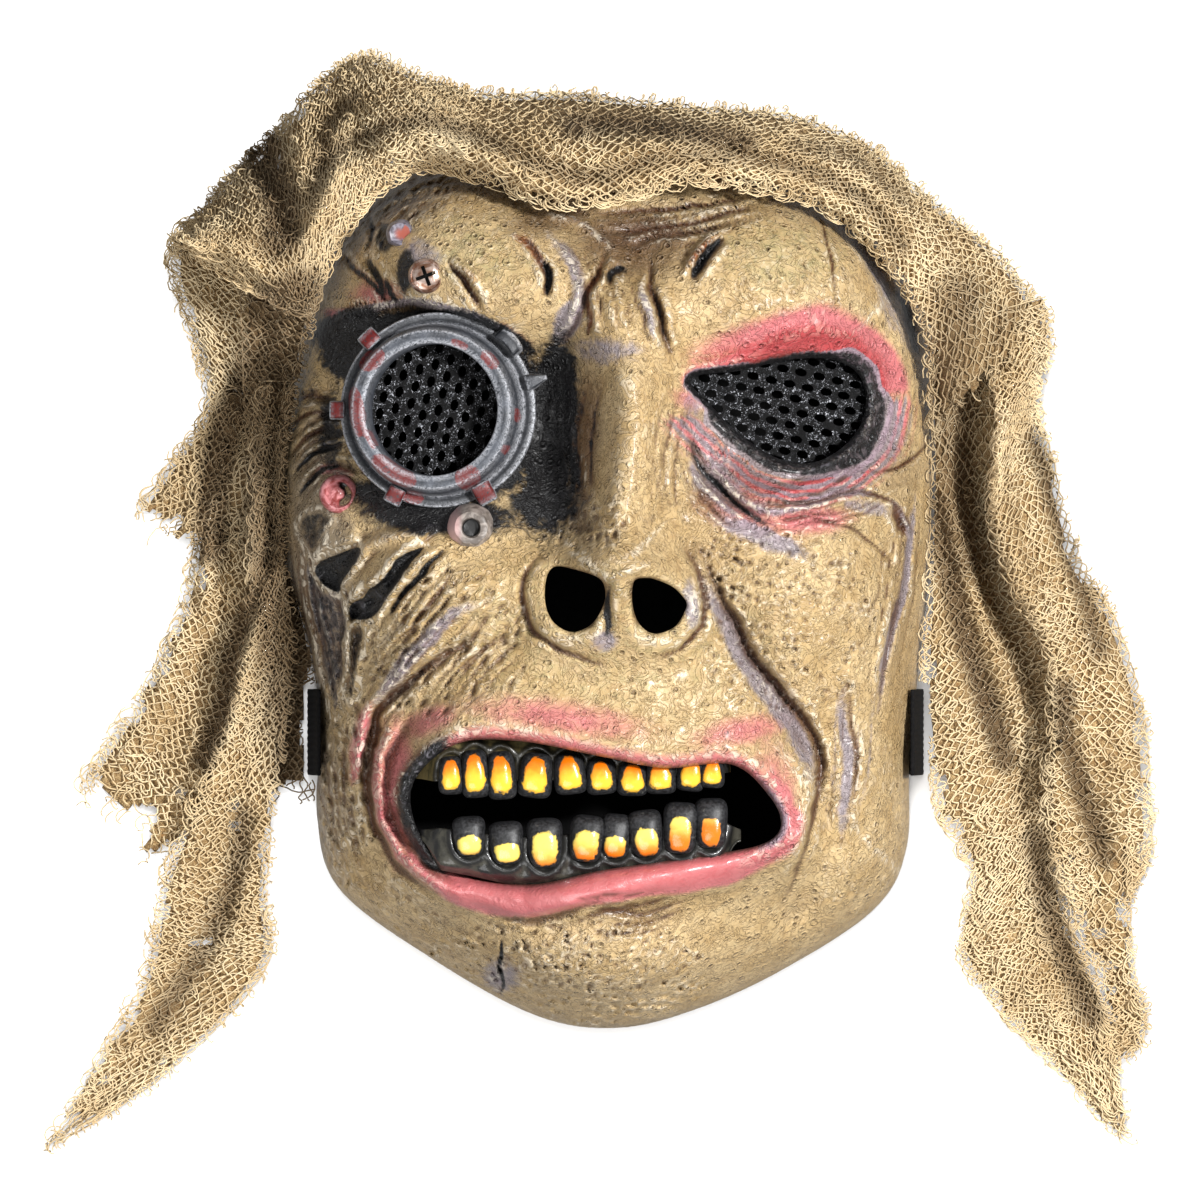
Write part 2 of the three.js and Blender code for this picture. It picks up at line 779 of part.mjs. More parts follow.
const DRAPES = [
  {
    outer: [
      [-125, 116, 14], [-129, 101, 10], [-123, 81, 8], [-118, 60, 7],
      [-129, 42, 5], [-142, 24, 3],
    ],
    inner: [
      [-88, 105, 46], [-90, 81, 42], [-92, 60, 34], [-94, 45, 28],
      [-102, 24, 18], [-118, 12, 9],
    ],
    folds: 1.5,
    depth: 5,
    along: 7,
    across: 4,
  },
  {
    outer: [
      [-115, 66, 9], [-121, 39, 9], [-123, 12, 8], [-131, -15, 6],
      [-144, -36, 5], [-158, -54, 3],
    ],
    inner: [
      [-92, 60, 30], [-94, 30, 26], [-94, 0, 20], [-98, -30, 14],
      [-107, -57, 9], [-122, -77, 4],
    ],
    folds: 1.5,
    depth: 4,
    along: 7,
    across: 4,
  },
  {
    outer: [
      [-102, 66, 34], [-103, 39, 30], [-104, 12, 28], [-106, -12, 24],
      [-111, -34, 18], [-123, -64, 13], [-133, -90, 9], [-137, -112, 6],
      [-152, -141, 4], [-168, -167, 3],
    ],
    inner: [
      [-90, 66, 36], [-91, 39, 34], [-89, 12, 34], [-87, -15, 29],
      [-93, -39, 22], [-99, -66, 16], [-99, -90, 10], [-102, -110, 6],
      [-120, -139, 4], [-164, -166, 3],
    ],
    folds: 1,
    depth: 3,
    along: 12,
    across: 3,
  },
  {
    outer: [
      [-104, 66, 34], [-104, 36, 20], [-104, 12, 10], [-103, -12, 8],
      [-101, -36, 6], [-99, -62, 4],
    ],
    inner: [
      [-92, 66, 34], [-95, 36, 20], [-95, 12, 14], [-88, -12, 12],
      [-87, -34, 9], [-88, -57, 5],
    ],
    folds: 1,
    depth: 1,
    along: 6,
    across: 2,
  },
  {
    outer: [
      [136, 92, 9], [137, 75, 8], [133, 62, 7], [138, 44, 6], [146, 15, 6],
      [157, -5, 5], [166, -34, 4], [168, -59, 3], [168, -76, 3],
      [162, -92, 3],
    ],
    inner: [
      [110, 84, 38], [120, 62, 40], [120, 42, 37], [119, 26, 34],
      [126, 3, 30], [136, -14, 26], [138, -35, 22], [136, -60, 17],
      [140, -84, 11], [147, -99, 6],
    ],
    folds: 1,
    depth: 3,
    along: 10,
    across: 3,
  },
  {
    outer: [
      [133, 84, 20], [132, 42, 8], [136, 12, 7], [142, -15, 7],
      [144, -39, 8], [141, -64, 8], [141, -87, 8], [146, -105, 7],
      [154, -123, 5], [161, -161, 3],
    ],
    inner: [
      [100, 84, 42], [101, 36, 20], [100, 0, 16], [99, -34, 14],
      [104, -64, 11], [114, -84, 8], [110, -106, 5], [121, -122, 4],
      [136, -138, 4], [158, -162, 3],
    ],
    folds: 1.5,
    depth: 3,
    along: 12,
    across: 4,
  },
  {
    outer: [
      [163, -70, 5], [162, -99, 5], [164, -116, 4], [167, -129, 3],
      [162, -140, 3],
    ],
    inner: [
      [141, -70, 14], [146, -100, 8], [154, -116, 5], [153, -132, 4],
      [152, -143, 3],
    ],
    folds: 1,
    depth: 1.5,
    along: 6,
    across: 2,
  },
];

function drape({ outer, inner, folds, depth, along, across }) {
  const outerEdge = splined(outer);
  const innerEdge = splined(inner);
  return sheetSolid(along, across, (u, v) => {
    const p = outerEdge.getPoint(u).lerp(innerEdge.getPoint(u), v);
    const wave = Math.sin(Math.PI * v) * Math.sin(2 * Math.PI * folds * v + 2 * u);
    p.z += depth * wave * (1 - 0.4 * u);
    return p;
  });
}

function hood() {
  const cloth = DRAPES.map(drape).reduce(
    (solid, piece) => solid.add(piece),
    sheetSolid(CROWN_ALONG, CROWN_ACROSS, crown),
  );
  const clearance = 0.9;
  const skirt = 10;
  const tall = 60;
  const room = domeSolid(
    SHELL_CELLS,
    -clearance,
    (x, y) => faceHeight(x, y) + clearance,
    () => skirt,
  ).add(toSolid(extruded(rimOutline(clearance), -1, skirt)));
  const [left, right] = [-90, 101];
  const strapRoom = toSolid(
    new THREE.BoxGeometry(right - left, STRAP_WIDTH + 2, tall).translate(
      (left + right) / 2,
      STRAP_Y,
      0,
    ),
  );
  return largestBody(cloth.subtract(room).subtract(strapRoom));
}

const rubber = new THREE.MeshStandardMaterial({
  color: 0xb89b62,
  roughness: 0.5,
  metalness: 0,
});
const net = new THREE.MeshStandardMaterial({
  color: 0x141414,
  roughness: 0.5,
  metalness: 0,
});
const elastic = new THREE.MeshStandardMaterial({
  color: 0x18161a,
  roughness: 0.8,
  metalness: 0,
});
const gauze = new THREE.MeshStandardMaterial({
  color: 0xb59a6c,
  roughness: 0.95,
  metalness: 0,
});

const mask = new THREE.Group();
mask.add(toMesh("face_shell", faceShell(), rubber));
mask.add(toMesh("eyepiece_net", eyepieceNet(), net));
mask.add(toMesh("bare_eye_net", bareEyeNet(), net));
mask.add(toMesh("head_strap", headStrap(), elastic));
mask.add(toMesh("gauze_hood", hood(), gauze));

export default mask;
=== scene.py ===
"""A latex zombie mask with a torn gauze hood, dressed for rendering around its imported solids."""
import math
import random

import bmesh
import bpy
import numpy as np
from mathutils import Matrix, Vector, noise
from mathutils.kdtree import KDTree


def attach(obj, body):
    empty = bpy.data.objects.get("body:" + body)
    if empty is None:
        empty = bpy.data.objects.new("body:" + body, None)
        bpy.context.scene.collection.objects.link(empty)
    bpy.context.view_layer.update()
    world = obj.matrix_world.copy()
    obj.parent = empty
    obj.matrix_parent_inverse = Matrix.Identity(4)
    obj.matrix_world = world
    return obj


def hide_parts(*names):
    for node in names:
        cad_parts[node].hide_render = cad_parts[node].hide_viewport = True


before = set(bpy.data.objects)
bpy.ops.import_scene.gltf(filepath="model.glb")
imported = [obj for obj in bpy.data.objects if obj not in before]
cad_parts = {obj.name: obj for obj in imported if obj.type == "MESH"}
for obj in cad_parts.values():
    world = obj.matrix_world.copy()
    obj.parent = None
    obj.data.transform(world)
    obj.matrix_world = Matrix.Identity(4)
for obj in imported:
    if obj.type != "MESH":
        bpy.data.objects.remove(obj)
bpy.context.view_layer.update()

# Camera: a long lens straight above the mask, which lies face up on its back rim.
camera_height = 4.0
face_level = 0.05
view_width = 0.36
picture_middle = 0.0009
camera_data = bpy.data.cameras.new("camera")
camera_data.sensor_width = 36
camera_data.lens = 36 * (camera_height - face_level) / view_width
camera_data.clip_end = 20
camera = bpy.data.objects.new("camera", camera_data)
camera.location = (picture_middle, 0, camera_height)
bpy.context.collection.objects.link(camera)
bpy.context.scene.camera = camera

# Latex skin: one casting of rubber latex, 3 to 4 mm thick, airbrushed over its base colour and
# dry-brushed on its high places, with painted shade in its hollows and under the hood's hem. It is
# shaped on a grid that is wrapped over the face's plan.
# All sizes are in millimetres, with +X to the viewer's right and +Y to the top of the head.
MM = 0.001
FACE_CENTRE = (3, 6)
DOME_HEIGHT = 78
WALL = 3.4
WALL_SIDE = 3.0
RIM_ARCH = 3.2
STRAP_Y = -40
STRAP_WIDTH = 26
EYEPIECE = (-47.4, 56.7)
BARE_EYE = (56, 57)
EYE_PLANE_HEIGHT = 54.6
EYE_PLANE_SLOPE = -0.4
RIM_POINTS = [
    (2, 147), (-38, 141), (-70, 122), (-85, 95), (-93, 65), (-97, 36), (-96, 14), (-89, -9),
    (-84, -36), (-85, -66), (-78, -88), (-50, -109), (-19, -126), (5, -130), (28, -125),
    (55, -113), (84, -94), (94, -75), (95, -45), (100, 0), (103, 44), (99, 84), (82, 116),
    (44, 139),
]
NOSE_BRIDGE = [(9, 84), (13, 60), (10, 34), (7, 14)]
FOLD_LEFT = [(-20, 2), (-30, -14), (-48, -26), (-63, -40), (-69, -58), (-66, -76)]
FOLD_RIGHT = [(29, 12), (41, -8), (56, -32), (68, -52), (68, -72), (60, -94)]
JAW_GROOVE = [(72, -22), (76, -48), (77, -70)]
UPPER_LIP = [
    (-58, -52), (-40, -37), (-22, -38), (0, -43), (20, -46), (40, -43), (56, -55), (60, -68),
]
LOWER_LIP = [(-59, -60), (-57, -75), (-46, -88), (-22, -92), (6, -87), (34, -82), (56, -74)]
EYE_OPENING = [
    (28, 66), (35, 57), (44, 48.5), (55, 42), (66, 41.5), (76, 48), (80.5, 57), (79, 67),
    (71, 72), (58, 72), (42, 68.5),
]
MOUTH_OPENING = [
    (-55, -55), (-53, -70), (-42, -81), (-21, -85), (2, -80.5), (30, -76.5), (49, -73),
    (55, -67), (51, -58), (40, -49), (20, -50), (1, -46.5), (-23, -42), (-42, -43),
]


def smooth(t):
    return t * t * (3 - 2 * t)


def ease(value, low, high):
    return smooth(np.clip((value - low) / (high - low), 0, 1))


def cubic(p1, p2, m1, m2, t):
    """The place at a share t of the way between two points, with the slopes that it has at them."""
    return (p1 * (1 + 2 * t) * (1 - t) ** 2 + m1 * t * (1 - t) ** 2
            + p2 * t * t * (3 - 2 * t) - m2 * t * t * (1 - t))


def curved(points, closed=False, step=2.0):
    """A smooth line of even points through a few given ones."""
    given = np.array(points, float)
    if given.ndim == 1:
        given = given.reshape(-1, 2)
    if closed:
        given = np.vstack([given[-1], given, given[:2]])
    else:
        given = np.vstack([2 * given[0] - given[1], given, 2 * given[-1] - given[-2]])
    made = []
    for p0, p1, p2, p3 in zip(given, given[1:], given[2:], given[3:]):
        count = max(1, int(np.hypot(*(p2 - p1)[:2]) / step))
        made += [cubic(p1, p2, (p2 - p0) / 2, (p3 - p1) / 2, t) for t in np.arange(count) / count]
    if not closed:
        made.append(given[-2])
    return np.array(made)


def trace(x, y, line):
    """The distance to a line, the side of it (left is positive), and how far along it that is."""
    best = np.full(x.shape, 1e9)
    side = np.zeros(x.shape)
    along = np.zeros(x.shape)
    for i in range(len(line) - 1):
        (ax, ay), (bx, by) = line[i], line[i + 1]
        dx, dy = bx - ax, by - ay
        t = np.clip(((x - ax) * dx + (y - ay) * dy) / (dx * dx + dy * dy), 0, 1)
        d = np.hypot(x - ax - t * dx, y - ay - t * dy)
        nearer = d < best
        best[nearer] = d[nearer]
        side[nearer] = np.sign(dx * (y - ay) - dy * (x - ax))[nearer]
        along[nearer] = ((i + t) / (len(line) - 1))[nearer]
    return best, side, along


def inside(x, y, outline):
    found = np.zeros(x.shape, bool)
    for (ax, ay), (bx, by) in zip(outline, np.roll(outline, -1, axis=0)):
        crosses = (ay > y) != (by > y)
        found ^= crosses & (x < (bx - ax) * (y - ay) / (by - ay + 1e-12) + ax)
    return found


rim_line = curved(RIM_POINTS, True, 0.5) - FACE_CENTRE
rim_angles = np.arctan2(rim_line[:, 1], rim_line[:, 0])
rim_radii = np.hypot(rim_line[:, 0], rim_line[:, 1])


def rim_radius(angle):
    return np.interp(angle, rim_angles, rim_radii, period=math.tau)


def rim_share(x, y):
    dx, dy = x - FACE_CENTRE[0], y - FACE_CENTRE[1]
    return np.hypot(dx, dy) / rim_radius(np.arctan2(dy, dx))


def rim_height(y):
    d = np.abs(y - STRAP_Y) / (STRAP_WIDTH / 2 + 12)
    return RIM_ARCH * ease((1 - d) * 2.6, 0, 1)


def swelling(x, y, centre, radii, degrees=0, flatness=2):
    u, v = turned(x - centre[0], y - centre[1], -degrees)
    return np.exp(-np.hypot(u / radii[0], v / radii[1]) ** flatness)


def turned(u, v, degrees, middle=(0, 0)):
    """A place that is turned about a middle."""
    a = math.radians(degrees)
    return middle[0] + u * math.cos(a) - v * math.sin(a), middle[1] + u * math.sin(a) + v * math.cos(a)


def ridge(x, y, line, width):
    return np.exp(-(trace(x, y, line)[0] / width) ** 2)


def face_forms(x, y):
    """The height of the front of the face over the surface that the mask lies on."""
    s = np.clip(rim_share(x, y), 0, 1)
    rim = rim_height(y)
    dome = rim + (DOME_HEIGHT - rim) * np.sqrt(1 - s ** 2.8)
    forms = (
        16 * swelling(x, y, (-42, 106), (43, 21), -21, 3)
        + 15 * swelling(x, y, (55, 100), (36, 27), 8, 3)
        - 10 * swelling(x, y, EYEPIECE, (38, 34), 0, 4)
        - 14 * swelling(x, y, (-12, 48), (13, 30), 8, 2)
        - 9 * swelling(x, y, BARE_EYE, (34, 22), 0, 3)
        + 19 * ridge(x, y, NOSE_BRIDGE, 14)
        + 17 * swelling(x, y, (6.5, 0), (29, 19), 0, 4)
        + 9 * swelling(x, y, (-52, 0), (28, 26), -35)
        + 9 * swelling(x, y, (66, 4), (25, 38), 12)
        + 7 * swelling(x, y, (0, -56), (64, 38), 0, 4)
        - 5 * ridge(x, y, FOLD_LEFT, 7)
        - 6 * ridge(x, y, FOLD_RIGHT, 7)
        - 3 * ridge(x, y, JAW_GROOVE, 6)
        + 4 * ridge(x, y, UPPER_LIP, 8)
        + 7 * ridge(x, y, LOWER_LIP, 8)
        + 12 * swelling(x, y, (0, -108), (34, 17), 0, 2.5)
    )
    return dome + forms * ease((1 - s) / 0.13, 0, 1)


# Lumps and hollows that the casting has on its main forms: rise, middle, radii, turn, flatness
LUMPS = [
    (4, (-36, 101), (32, 20), -20, 4),
    (2, (-16, 90), (13, 14), -30, 4),
    (4, (56, 94), (35, 22), 6, 4),
    (-3, (13, 90), (6, 18), 0, 2),
    (-2.5, (-7, 81), (5, 12), -20, 2),
    (4, (61, -8), (30, 23), 12, 4),
    (2.2, (58, 26), (31, 8), 8, 4),
    (3.5, (-43, -7), (26, 13), 38, 4),
    (2.5, (1, -31), (45, 12), -2, 4),
    (3, (76, -69), (15, 28), -6, 4),
    (3, (-2, -110), (28, 12), 0, 4),
    (2.5, (-50, -99), (17, 18), -30, 4),
    (-4, (-74, 3), (10, 24), -8, 3),
    (-3, (-58, -57), (5, 20), 0, 3),
    (-2.5, (57, -59), (4, 15), 0, 3),
]
# Long soft ridges and furrows: rise, half width, points
SWEEPS = [
    (4.5, 7, [9, 74, 8, 54, 6, 30, 5, 16]),
    (-3, 4, [-30, -98, -11, -97, 7, -94, 28, -89]),
    (3, 4.5, [-60, -35, -66, -46, -68, -60, -63, -75, -52, -86, -38, -92]),
    (2.6, 4, [57, -43, 63, -54, 63, -66, 58, -79, 52, -90]),
    (-3.5, 3.6, [29, 14, 38, -1, 47, -16, 57, -31, 64, -43, 67, -60, 61, -79]),
    (-2.5, 3.6, [-32, -3, -47, -20, -62, -31, -68, -47, -69, -63, -63, -79, -47, -90]),
    (-2.5, 3.4, [27, 49, 32, 38, 42, 26, 54, 19]),
    (2.6, 4, [85, 90, 92, 75, 95, 57, 92, 39]),
    (3, 5, [72, -15, 75, -36, 76, -54, 74, -75]),
    (-3, 4, [66, -12, 69, -33, 70, -54, 67, -75]),
]

# Folds and furrows of the skin: points, half width, rise, and the paint along them, if not plain
FOLDS = [
    # cuts in the brows and the crack above the bare eye
    ([-24.5, 108.5, -19.5, 105, -16, 99.5, -14.5, 95, -15.5, 90], 1.1, -3.4, {"rust": 0.8,
      "brown": 0.9}),
    ([-16, 101, -14, 96, -14.5, 90.5], 1.1, -2.6, {"black": 0.8}),
    ([-26.5, 109, -21, 106, -17, 101.5, -15.5, 96], 1.3, 1.6, {"rust": 0.9}),
    ([37.5, 108.5, 33.5, 104, 30.5, 99.5, 28, 95], 1.5, -4, {"brown": 1, "black": 0.7}),
    ([38, 110.5, 33.5, 107, 29.5, 103, 26.5, 97], 1.5, 2, {"rust": 0.7}),
    ([65, 116.5, 68, 110.5, 70.5, 98.5, 71, 86], 0.6, -1.4),
    # creases of the temple on the right
    ([66, 117.5, 73, 115, 79, 107.5, 86, 95.5, 90.5, 84.5], 1.7, -2.8, {"lavender": 0.9}),
    ([69.5, 119, 76.5, 116, 83, 108, 89, 98.5, 92, 91], 1.2, 1.4, {"pale": 0.6}),
    ([88, 95.5, 92.5, 90, 95, 80, 97, 73], 1.8, -3.4, {"black": 0.5, "lavender": 0.8}),
    # striations under the hood's hem
    ([-3, 115, 7, 116.5, 20, 117, 38.5, 119.5, 48.5, 121], 0.9, -1.6),
    ([-1, 111, 13, 110.5, 29, 113, 43, 116.5, 52, 118.5], 0.9, -1.8),
    ([9, 106.5, 20, 109, 31, 110.5, 42.5, 114.5], 0.9, -1.8, {"brown": 0.6}),
    ([-17, 121, -9.5, 118.5, -3, 115], 1, -1.6),
    # ridges and creases between the brows
    ([-17, 112, -10, 104, -5.5, 96.5, -5, 91, -7.5, 83.5, -13, 76, -17, 74.5], 1.9, 1.6,
     {"lavender": 0.8, "pale": 0.4}),
    ([-16.5, 116, -4, 112, 8, 102.5], 1.3, 1.8, {"lavender": 0.5, "pale": 0.4}),
    ([2, 104.5, 0.5, 97, -3, 91, -6.5, 83.5, -10.5, 76], 1.2, -2.4, {"rust": 0.9}),
    ([4, 103, 2, 96.5, -1, 90.5, -0.5, 83.5, 1.5, 77], 1.1, 1.8, {"brown": 0.4}),
    ([-4, 92.5, -2, 84.5, -2.5, 77], 1, -1.8, {"rust": 0.7}),
    ([3, 94, 4, 97, 6.5, 98.5, 9.5, 98], 1.2, -2.4, {"black": 0.7}),
    ([15.5, 103, 16, 93.5, 19, 83.5, 22, 73], 1, -2.8),
    ([12.5, 96.5, 15.5, 83.5, 18.5, 75.5], 1.3, 1.5, {"lavender": 0.8}),
    ([19, 98.5, 18, 91, 20, 80, 23.5, 72], 1.3, -1.4, {"black": 0.3, "brown": 0.5}),
    # folds of the left brow round the screw and the stump
    ([-77, 104.5, -72, 99, -65, 92, -61.5, 89], 0.9, -2.8, {"brown": 0.9, "black": 0.5}),
    ([-70, 103, -67, 98, -63, 90.5], 1.1, -2.6, {"black": 0.7}),
    ([-74, 101.5, -68.5, 95.5, -64, 91], 1, 1.8, {"pink": 0.5}),
    ([-64, 96.5, -62, 92.5, -59.5, 89], 1.2, -2.2, {"black": 0.6}),
    ([-68.5, 116.5, -68, 110, -70, 105], 0.8, -1.4, {"black": 0.5}),
    ([-45, 101.5, -41, 97, -37.5, 92.5, -35.5, 89, -35, 85], 0.9, -2.4, {"brown": 1}),
    ([-43.5, 102, -39.5, 98, -35, 93.5, -32.5, 89], 1.1, 1.6, {"rust": 0.5}),
    # the black groove between the lip of the socket and the eyepiece
    ([-80.5, 79, -72.5, 81, -59, 83.5, -45.5, 84, -29, 80, -14.5, 72.5], 2.6, -1, {"black": 1}),
    # temple wrinkles to the left of the eyepiece
    ([-92.5, 58.5, -88.5, 61, -85, 61.5, -80, 60.5], 1, -1.7),
    ([-94, 49, -89.5, 55, -84.5, 56.5, -78.5, 55], 1, -1.8),
    ([-93, 43, -89, 48.5, -83.5, 50.5, -76, 50.5], 1, -2),
    ([-92, 36.5, -87.5, 42, -81.5, 45.5, -74, 45.5], 1, -2, {"black": 0.6}),
    ([-90.5, 30, -86, 36, -80, 40, -72.5, 39.5], 1, -2, {"black": 0.6}),
    ([-85.5, 38, -79, 39.5, -72.5, 37], 1.3, 2, {"pink": 0.8}),
    # torn flaps of the left cheek
    ([-83.5, 27, -80, 25, -83, 20.5, -85.5, 17], 1.1, 1.5, {"pale": 0.5}),
    ([-48, 23, -56, 20, -67, 17.5, -71, 13, -75, 7, -75.5, 2.5], 1.6, 2.4, {"pale": 0.5, "pink": 0.2}),
    ([-47.5, 16, -54.5, 9.5, -60, 3.5, -63.5, -1, -68, -8], 1.2, 2.6, {"pale": 0.8}),
    ([-45.5, 15, -52, 8, -58, 1, -62.5, -5.5], 0.9, -2.4, {"black": 0.8}),
    ([-40.5, 12, -47, 3, -53, -5, -58.5, -15], 0.8, -1.2),
    ([-76, 6.5, -75.5, -3.5, -75, -12, -76, -22.5, -77.5, -29.5], 0.9, 2.6, {"pale": 0.6,
      "lavender": 0.3}),
    ([-68, -6.5, -70.5, -14, -72, -21, -74, -29.5, -75.5, -39], 1.1, 2.2, {"grey": 0.3}),
    ([-32, -1, -39, -2.5, -45.5, -6.5, -54, -15.5, -61, -23.5, -65, -28, -68.5, -33.5], 2.1, 2.2,
     {"lavender": 0.9, "pink": 0.3}),
    ([-66.5, -29.5, -68.5, -33.5, -71, -41.5, -72.5, -48.5, -73, -56.5], 1.7, 1.4, {"pink": 1}),
    ([-30.5, -2, -38, -12, -45.5, -17.5, -54, -23, -61, -28, -65, -32.5, -67, -39.5, -68.5, -48, -68.5,
      -57, -68, -63.5, -65.5, -71, -62, -77.5, -56.5, -83, -45.5, -88.5], 1.7, -3, {"brown": 1}),
    # the corner of the mouth on the left
    ([-56.5, -32.5, -62, -39, -65.5, -45, -66.5, -52, -65.5, -61, -63, -69.5, -58, -77.5, -50, -84.5,
      -39, -88], 1.5, 1.8, {"pink": 0.8, "lavender": 0.3}),
    ([-53.5, -35, -59, -42, -61.5, -49.5, -62, -57.5, -60.5, -66, -56, -74, -48.5, -80, -38, -84], 2,
     -2.2, {"pink": 0.9, "brown": 0.35}),
    ([-55, -48.5, -54, -54, -54.5, -63.5, -53, -71, -46, -79], 1.2, 1.3, {"pink": 0.8}),
    ([-50, -48.5, -43, -43, -36, -39.5, -30.5, -39.5], 1.1, 0.6, {"olive": 0.9}),
    # the nose
    ([25.5, 16, 30.5, 8, 32, -1, 30.5, -8, 25.5, -14, 16.5, -17.5], 1.1, -1.8),
    ([-15, 16, -21.5, 8, -22.5, 0, -19.5, -8, -12.5, -14, -2.5, -18, 4.5, -19], 1.1, -1.6),
    ([-7, 13, -2, 10, 4, 6, 11, 9.5, 16, 11], 1, 1.1, {"pale": 0.7}),
    ([4, 5, 3, -2, 3.5, -8.5, 2, -12.5], 1.3, -1.4, {"black": 0.6, "lavender": 0.5}),
    ([-11, 56.5, -8.5, 47, -7, 35.5, -9.5, 27.5], 1.2, -1.4, {"black": 0.7}),
    # the fold from the nose past the right corner of the mouth
    ([29.5, 17, 34, 8, 38.5, -1, 43, -9.5, 48, -18.5, 54.5, -26.5, 61, -35, 66, -43.5, 67, -53.5, 64.5,
      -65, 60.5, -78.5, 55, -92.5], 1.3, -2.6),
    ([30, 13, 32.5, 4, 38, -6, 44, -17, 51, -27, 58, -37, 63.5, -49, 62.5, -60], 2.6, -1.4,
     {"lavender": 1}),
    ([72.5, -24, 73.5, -35.5, 75.5, -48.5, 74, -65, 72.5, -74], 1.6, -2.4, {"lavender": 0.9}),
    ([74.5, -23, 76, -35.5, 78, -48.5, 77, -65], 1.2, -1.2),
    ([96.5, 39, 94, 12.5, 92.5, 3.5, 90.5, -3.5, 88, -11.5, 86, -20, 85, -30, 84.5, -39], 1.1, -2.2,
     {"lavender": 0.9}),
    ([89, 28, 91, 24, 93.5, 19], 1.4, -3.2, {"brown": 1}),
    ([86.5, 30.5, 91, 26.5, 94, 20.5, 94.5, 14.5], 1.2, 1.4, {"lavender": 0.8}),
    # crow's feet and the skin under the bare eye
    ([80.5, 38, 89.5, 39.5, 97.5, 45.5, 100, 52], 0.7, -1.3),
    ([74.5, 33.5, 85, 31, 93.5, 24.5, 95.5, 18], 0.7, -1.2),
    ([54.5, 24, 67.5, 24, 79, 19.5, 88, 12, 91, 2.5], 0.8, -1.2, {"brown": 0.6}),
    ([32.5, 48.5, 38, 42.5, 44.5, 36, 52, 32, 59, 32, 64, 34, 72, 37, 81, 38, 86, 41.5], 1.6, 1.7,
     {"red": 1}),
    ([29, 45, 35.5, 36.5, 43.5, 30, 51.5, 26.5, 61, 27.5, 71.5, 31, 80.5, 32], 1.1, 1.2,
     {"lavender": 0.7, "pink": 0.5}),
    ([27.5, 50, 30, 41.5, 34.5, 35, 41.5, 29, 49.5, 23.5, 55.5, 20.5], 1.2, -1.8, {"black": 0.5,
      "lavender": 0.7}),
    ([26.5, 44.5, 30.5, 36, 37.5, 28, 45.5, 23.5], 0.9, 1.3, {"lavender": 1}),
    ([28, 36.5, 32.5, 29, 38.5, 23.5, 43.5, 21], 0.8, -1.3),
    ([54.5, 26.5, 63.5, 29.5, 72, 32, 81.5, 32, 88, 28], 0.9, -1.3, {"lavender": 0.9}),
    # lids of the bare eye
    ([22.5, 69.5, 32.5, 71, 44, 74, 54.5, 77.5, 66, 80, 74.5, 78, 82.5, 73, 87.5, 65.5, 88, 57.5], 2.4,
     1.2, {"red": 0.8}),
    ([23.5, 71.5, 34, 74.5, 45.5, 78.5, 56, 82, 67, 84, 77, 81, 85.5, 74.5, 91, 65], 3.4, 0,
     {"pink": 0.85}),
    # lips
    ([-38, -92, -23, -95.5, -11, -94, 1, -89.5, 13, -89], 1.3, -1.6, {"brown": 0.5}),
    ([49, -48, 53.5, -54, 56, -62, 53.5, -69.5, 47.5, -75], 2.4, 0.8, {"pink": 0.9}),
    ([49.5, -80, 55, -75, 61, -71], 0.7, -0.9, {"brown": 0.5}),
    # chin
    ([-28, -101.5, -28.5, -105.5, -29, -110, -28, -115, -29, -119.5], 0.6, -1.8, {"black": 0.8}),
    ([-4, -94.5, 1, -92.5, 7.5, -93, 13, -91], 1.2, -1.4),
]

# Skin that is torn or lapped: the side to the left of the line stands higher
FLAPS = [
    # points, height of the step, how far it reaches, paint along its edge
    ([-79, 83.5, -71.5, 85.5, -59, 88, -47, 86.5, -35, 82.5, -27.5, 79, -22, 75], 6.5, 9,
     {"lavender": 1, "pink": 0.3}),
    ([-85.5, 11.5, -81.5, 14.5, -77, 16, -73, 17, -69.5, 18.5], 4, 6, {"pale": 1}),
    ([-75, 0, -74, -2, -71, 3, -66, 5, -60.5, 11, -56.5, 14.5, -52, 18, -46.5, 22], 4.5, 6,
     {"pale": 1}),
    ([-79.5, -11, -82, -2, -87, 8], 1.6, 7, {}),
    ([26, 18, 31, 11.5, 37.5, 0, 46, -13, 55.5, -27, 62.5, -38.5, 67, -51], 0, 6, {}),
]

# Places torn out of the cheek: outline, depth, and the paint on the floor
RECESSES = [
    ([-84.5, 10, -80, 13, -75.5, 14.5, -71, 15.5, -71, 12, -73.5, 9, -75.5, 6, -77, 2.5, -80.5, 4, -83.5,
      6.5], 2.8, {"black": 0.9}),
    ([-74.5, -5.5, -73.5, -1, -69.5, 2, -64, 7, -58, 13, -51.5, 16, -54.5, 11.5, -59.5, 5, -63.5, -0.5,
      -67.5, -5, -71.5, -6.5], 2.8,
     {"black": 0.9}),
    ([-88, 13, -85.5, 8.5, -81.5, 3, -77, 0.5, -75.5, -6.5, -76, -15, -77.5, -27, -79, -35, -80.5, -30,
      -83.5, -15, -86.5, 0], 1.2,
     {"black": 0.36, "lavender": 0.5}),
    ([-73.5, -9, -69.5, -8.5, -71, -18, -73, -30, -74.5, -27, -74, -16.5], 1.4, {"black": 0.36,
      "lavender": 0.3}),
    ([-89, 24, -83.5, 26.5, -80, 24, -82.5, 19, -85, 14.5, -88, 18], 1.2, {"black": 0.4}),
]
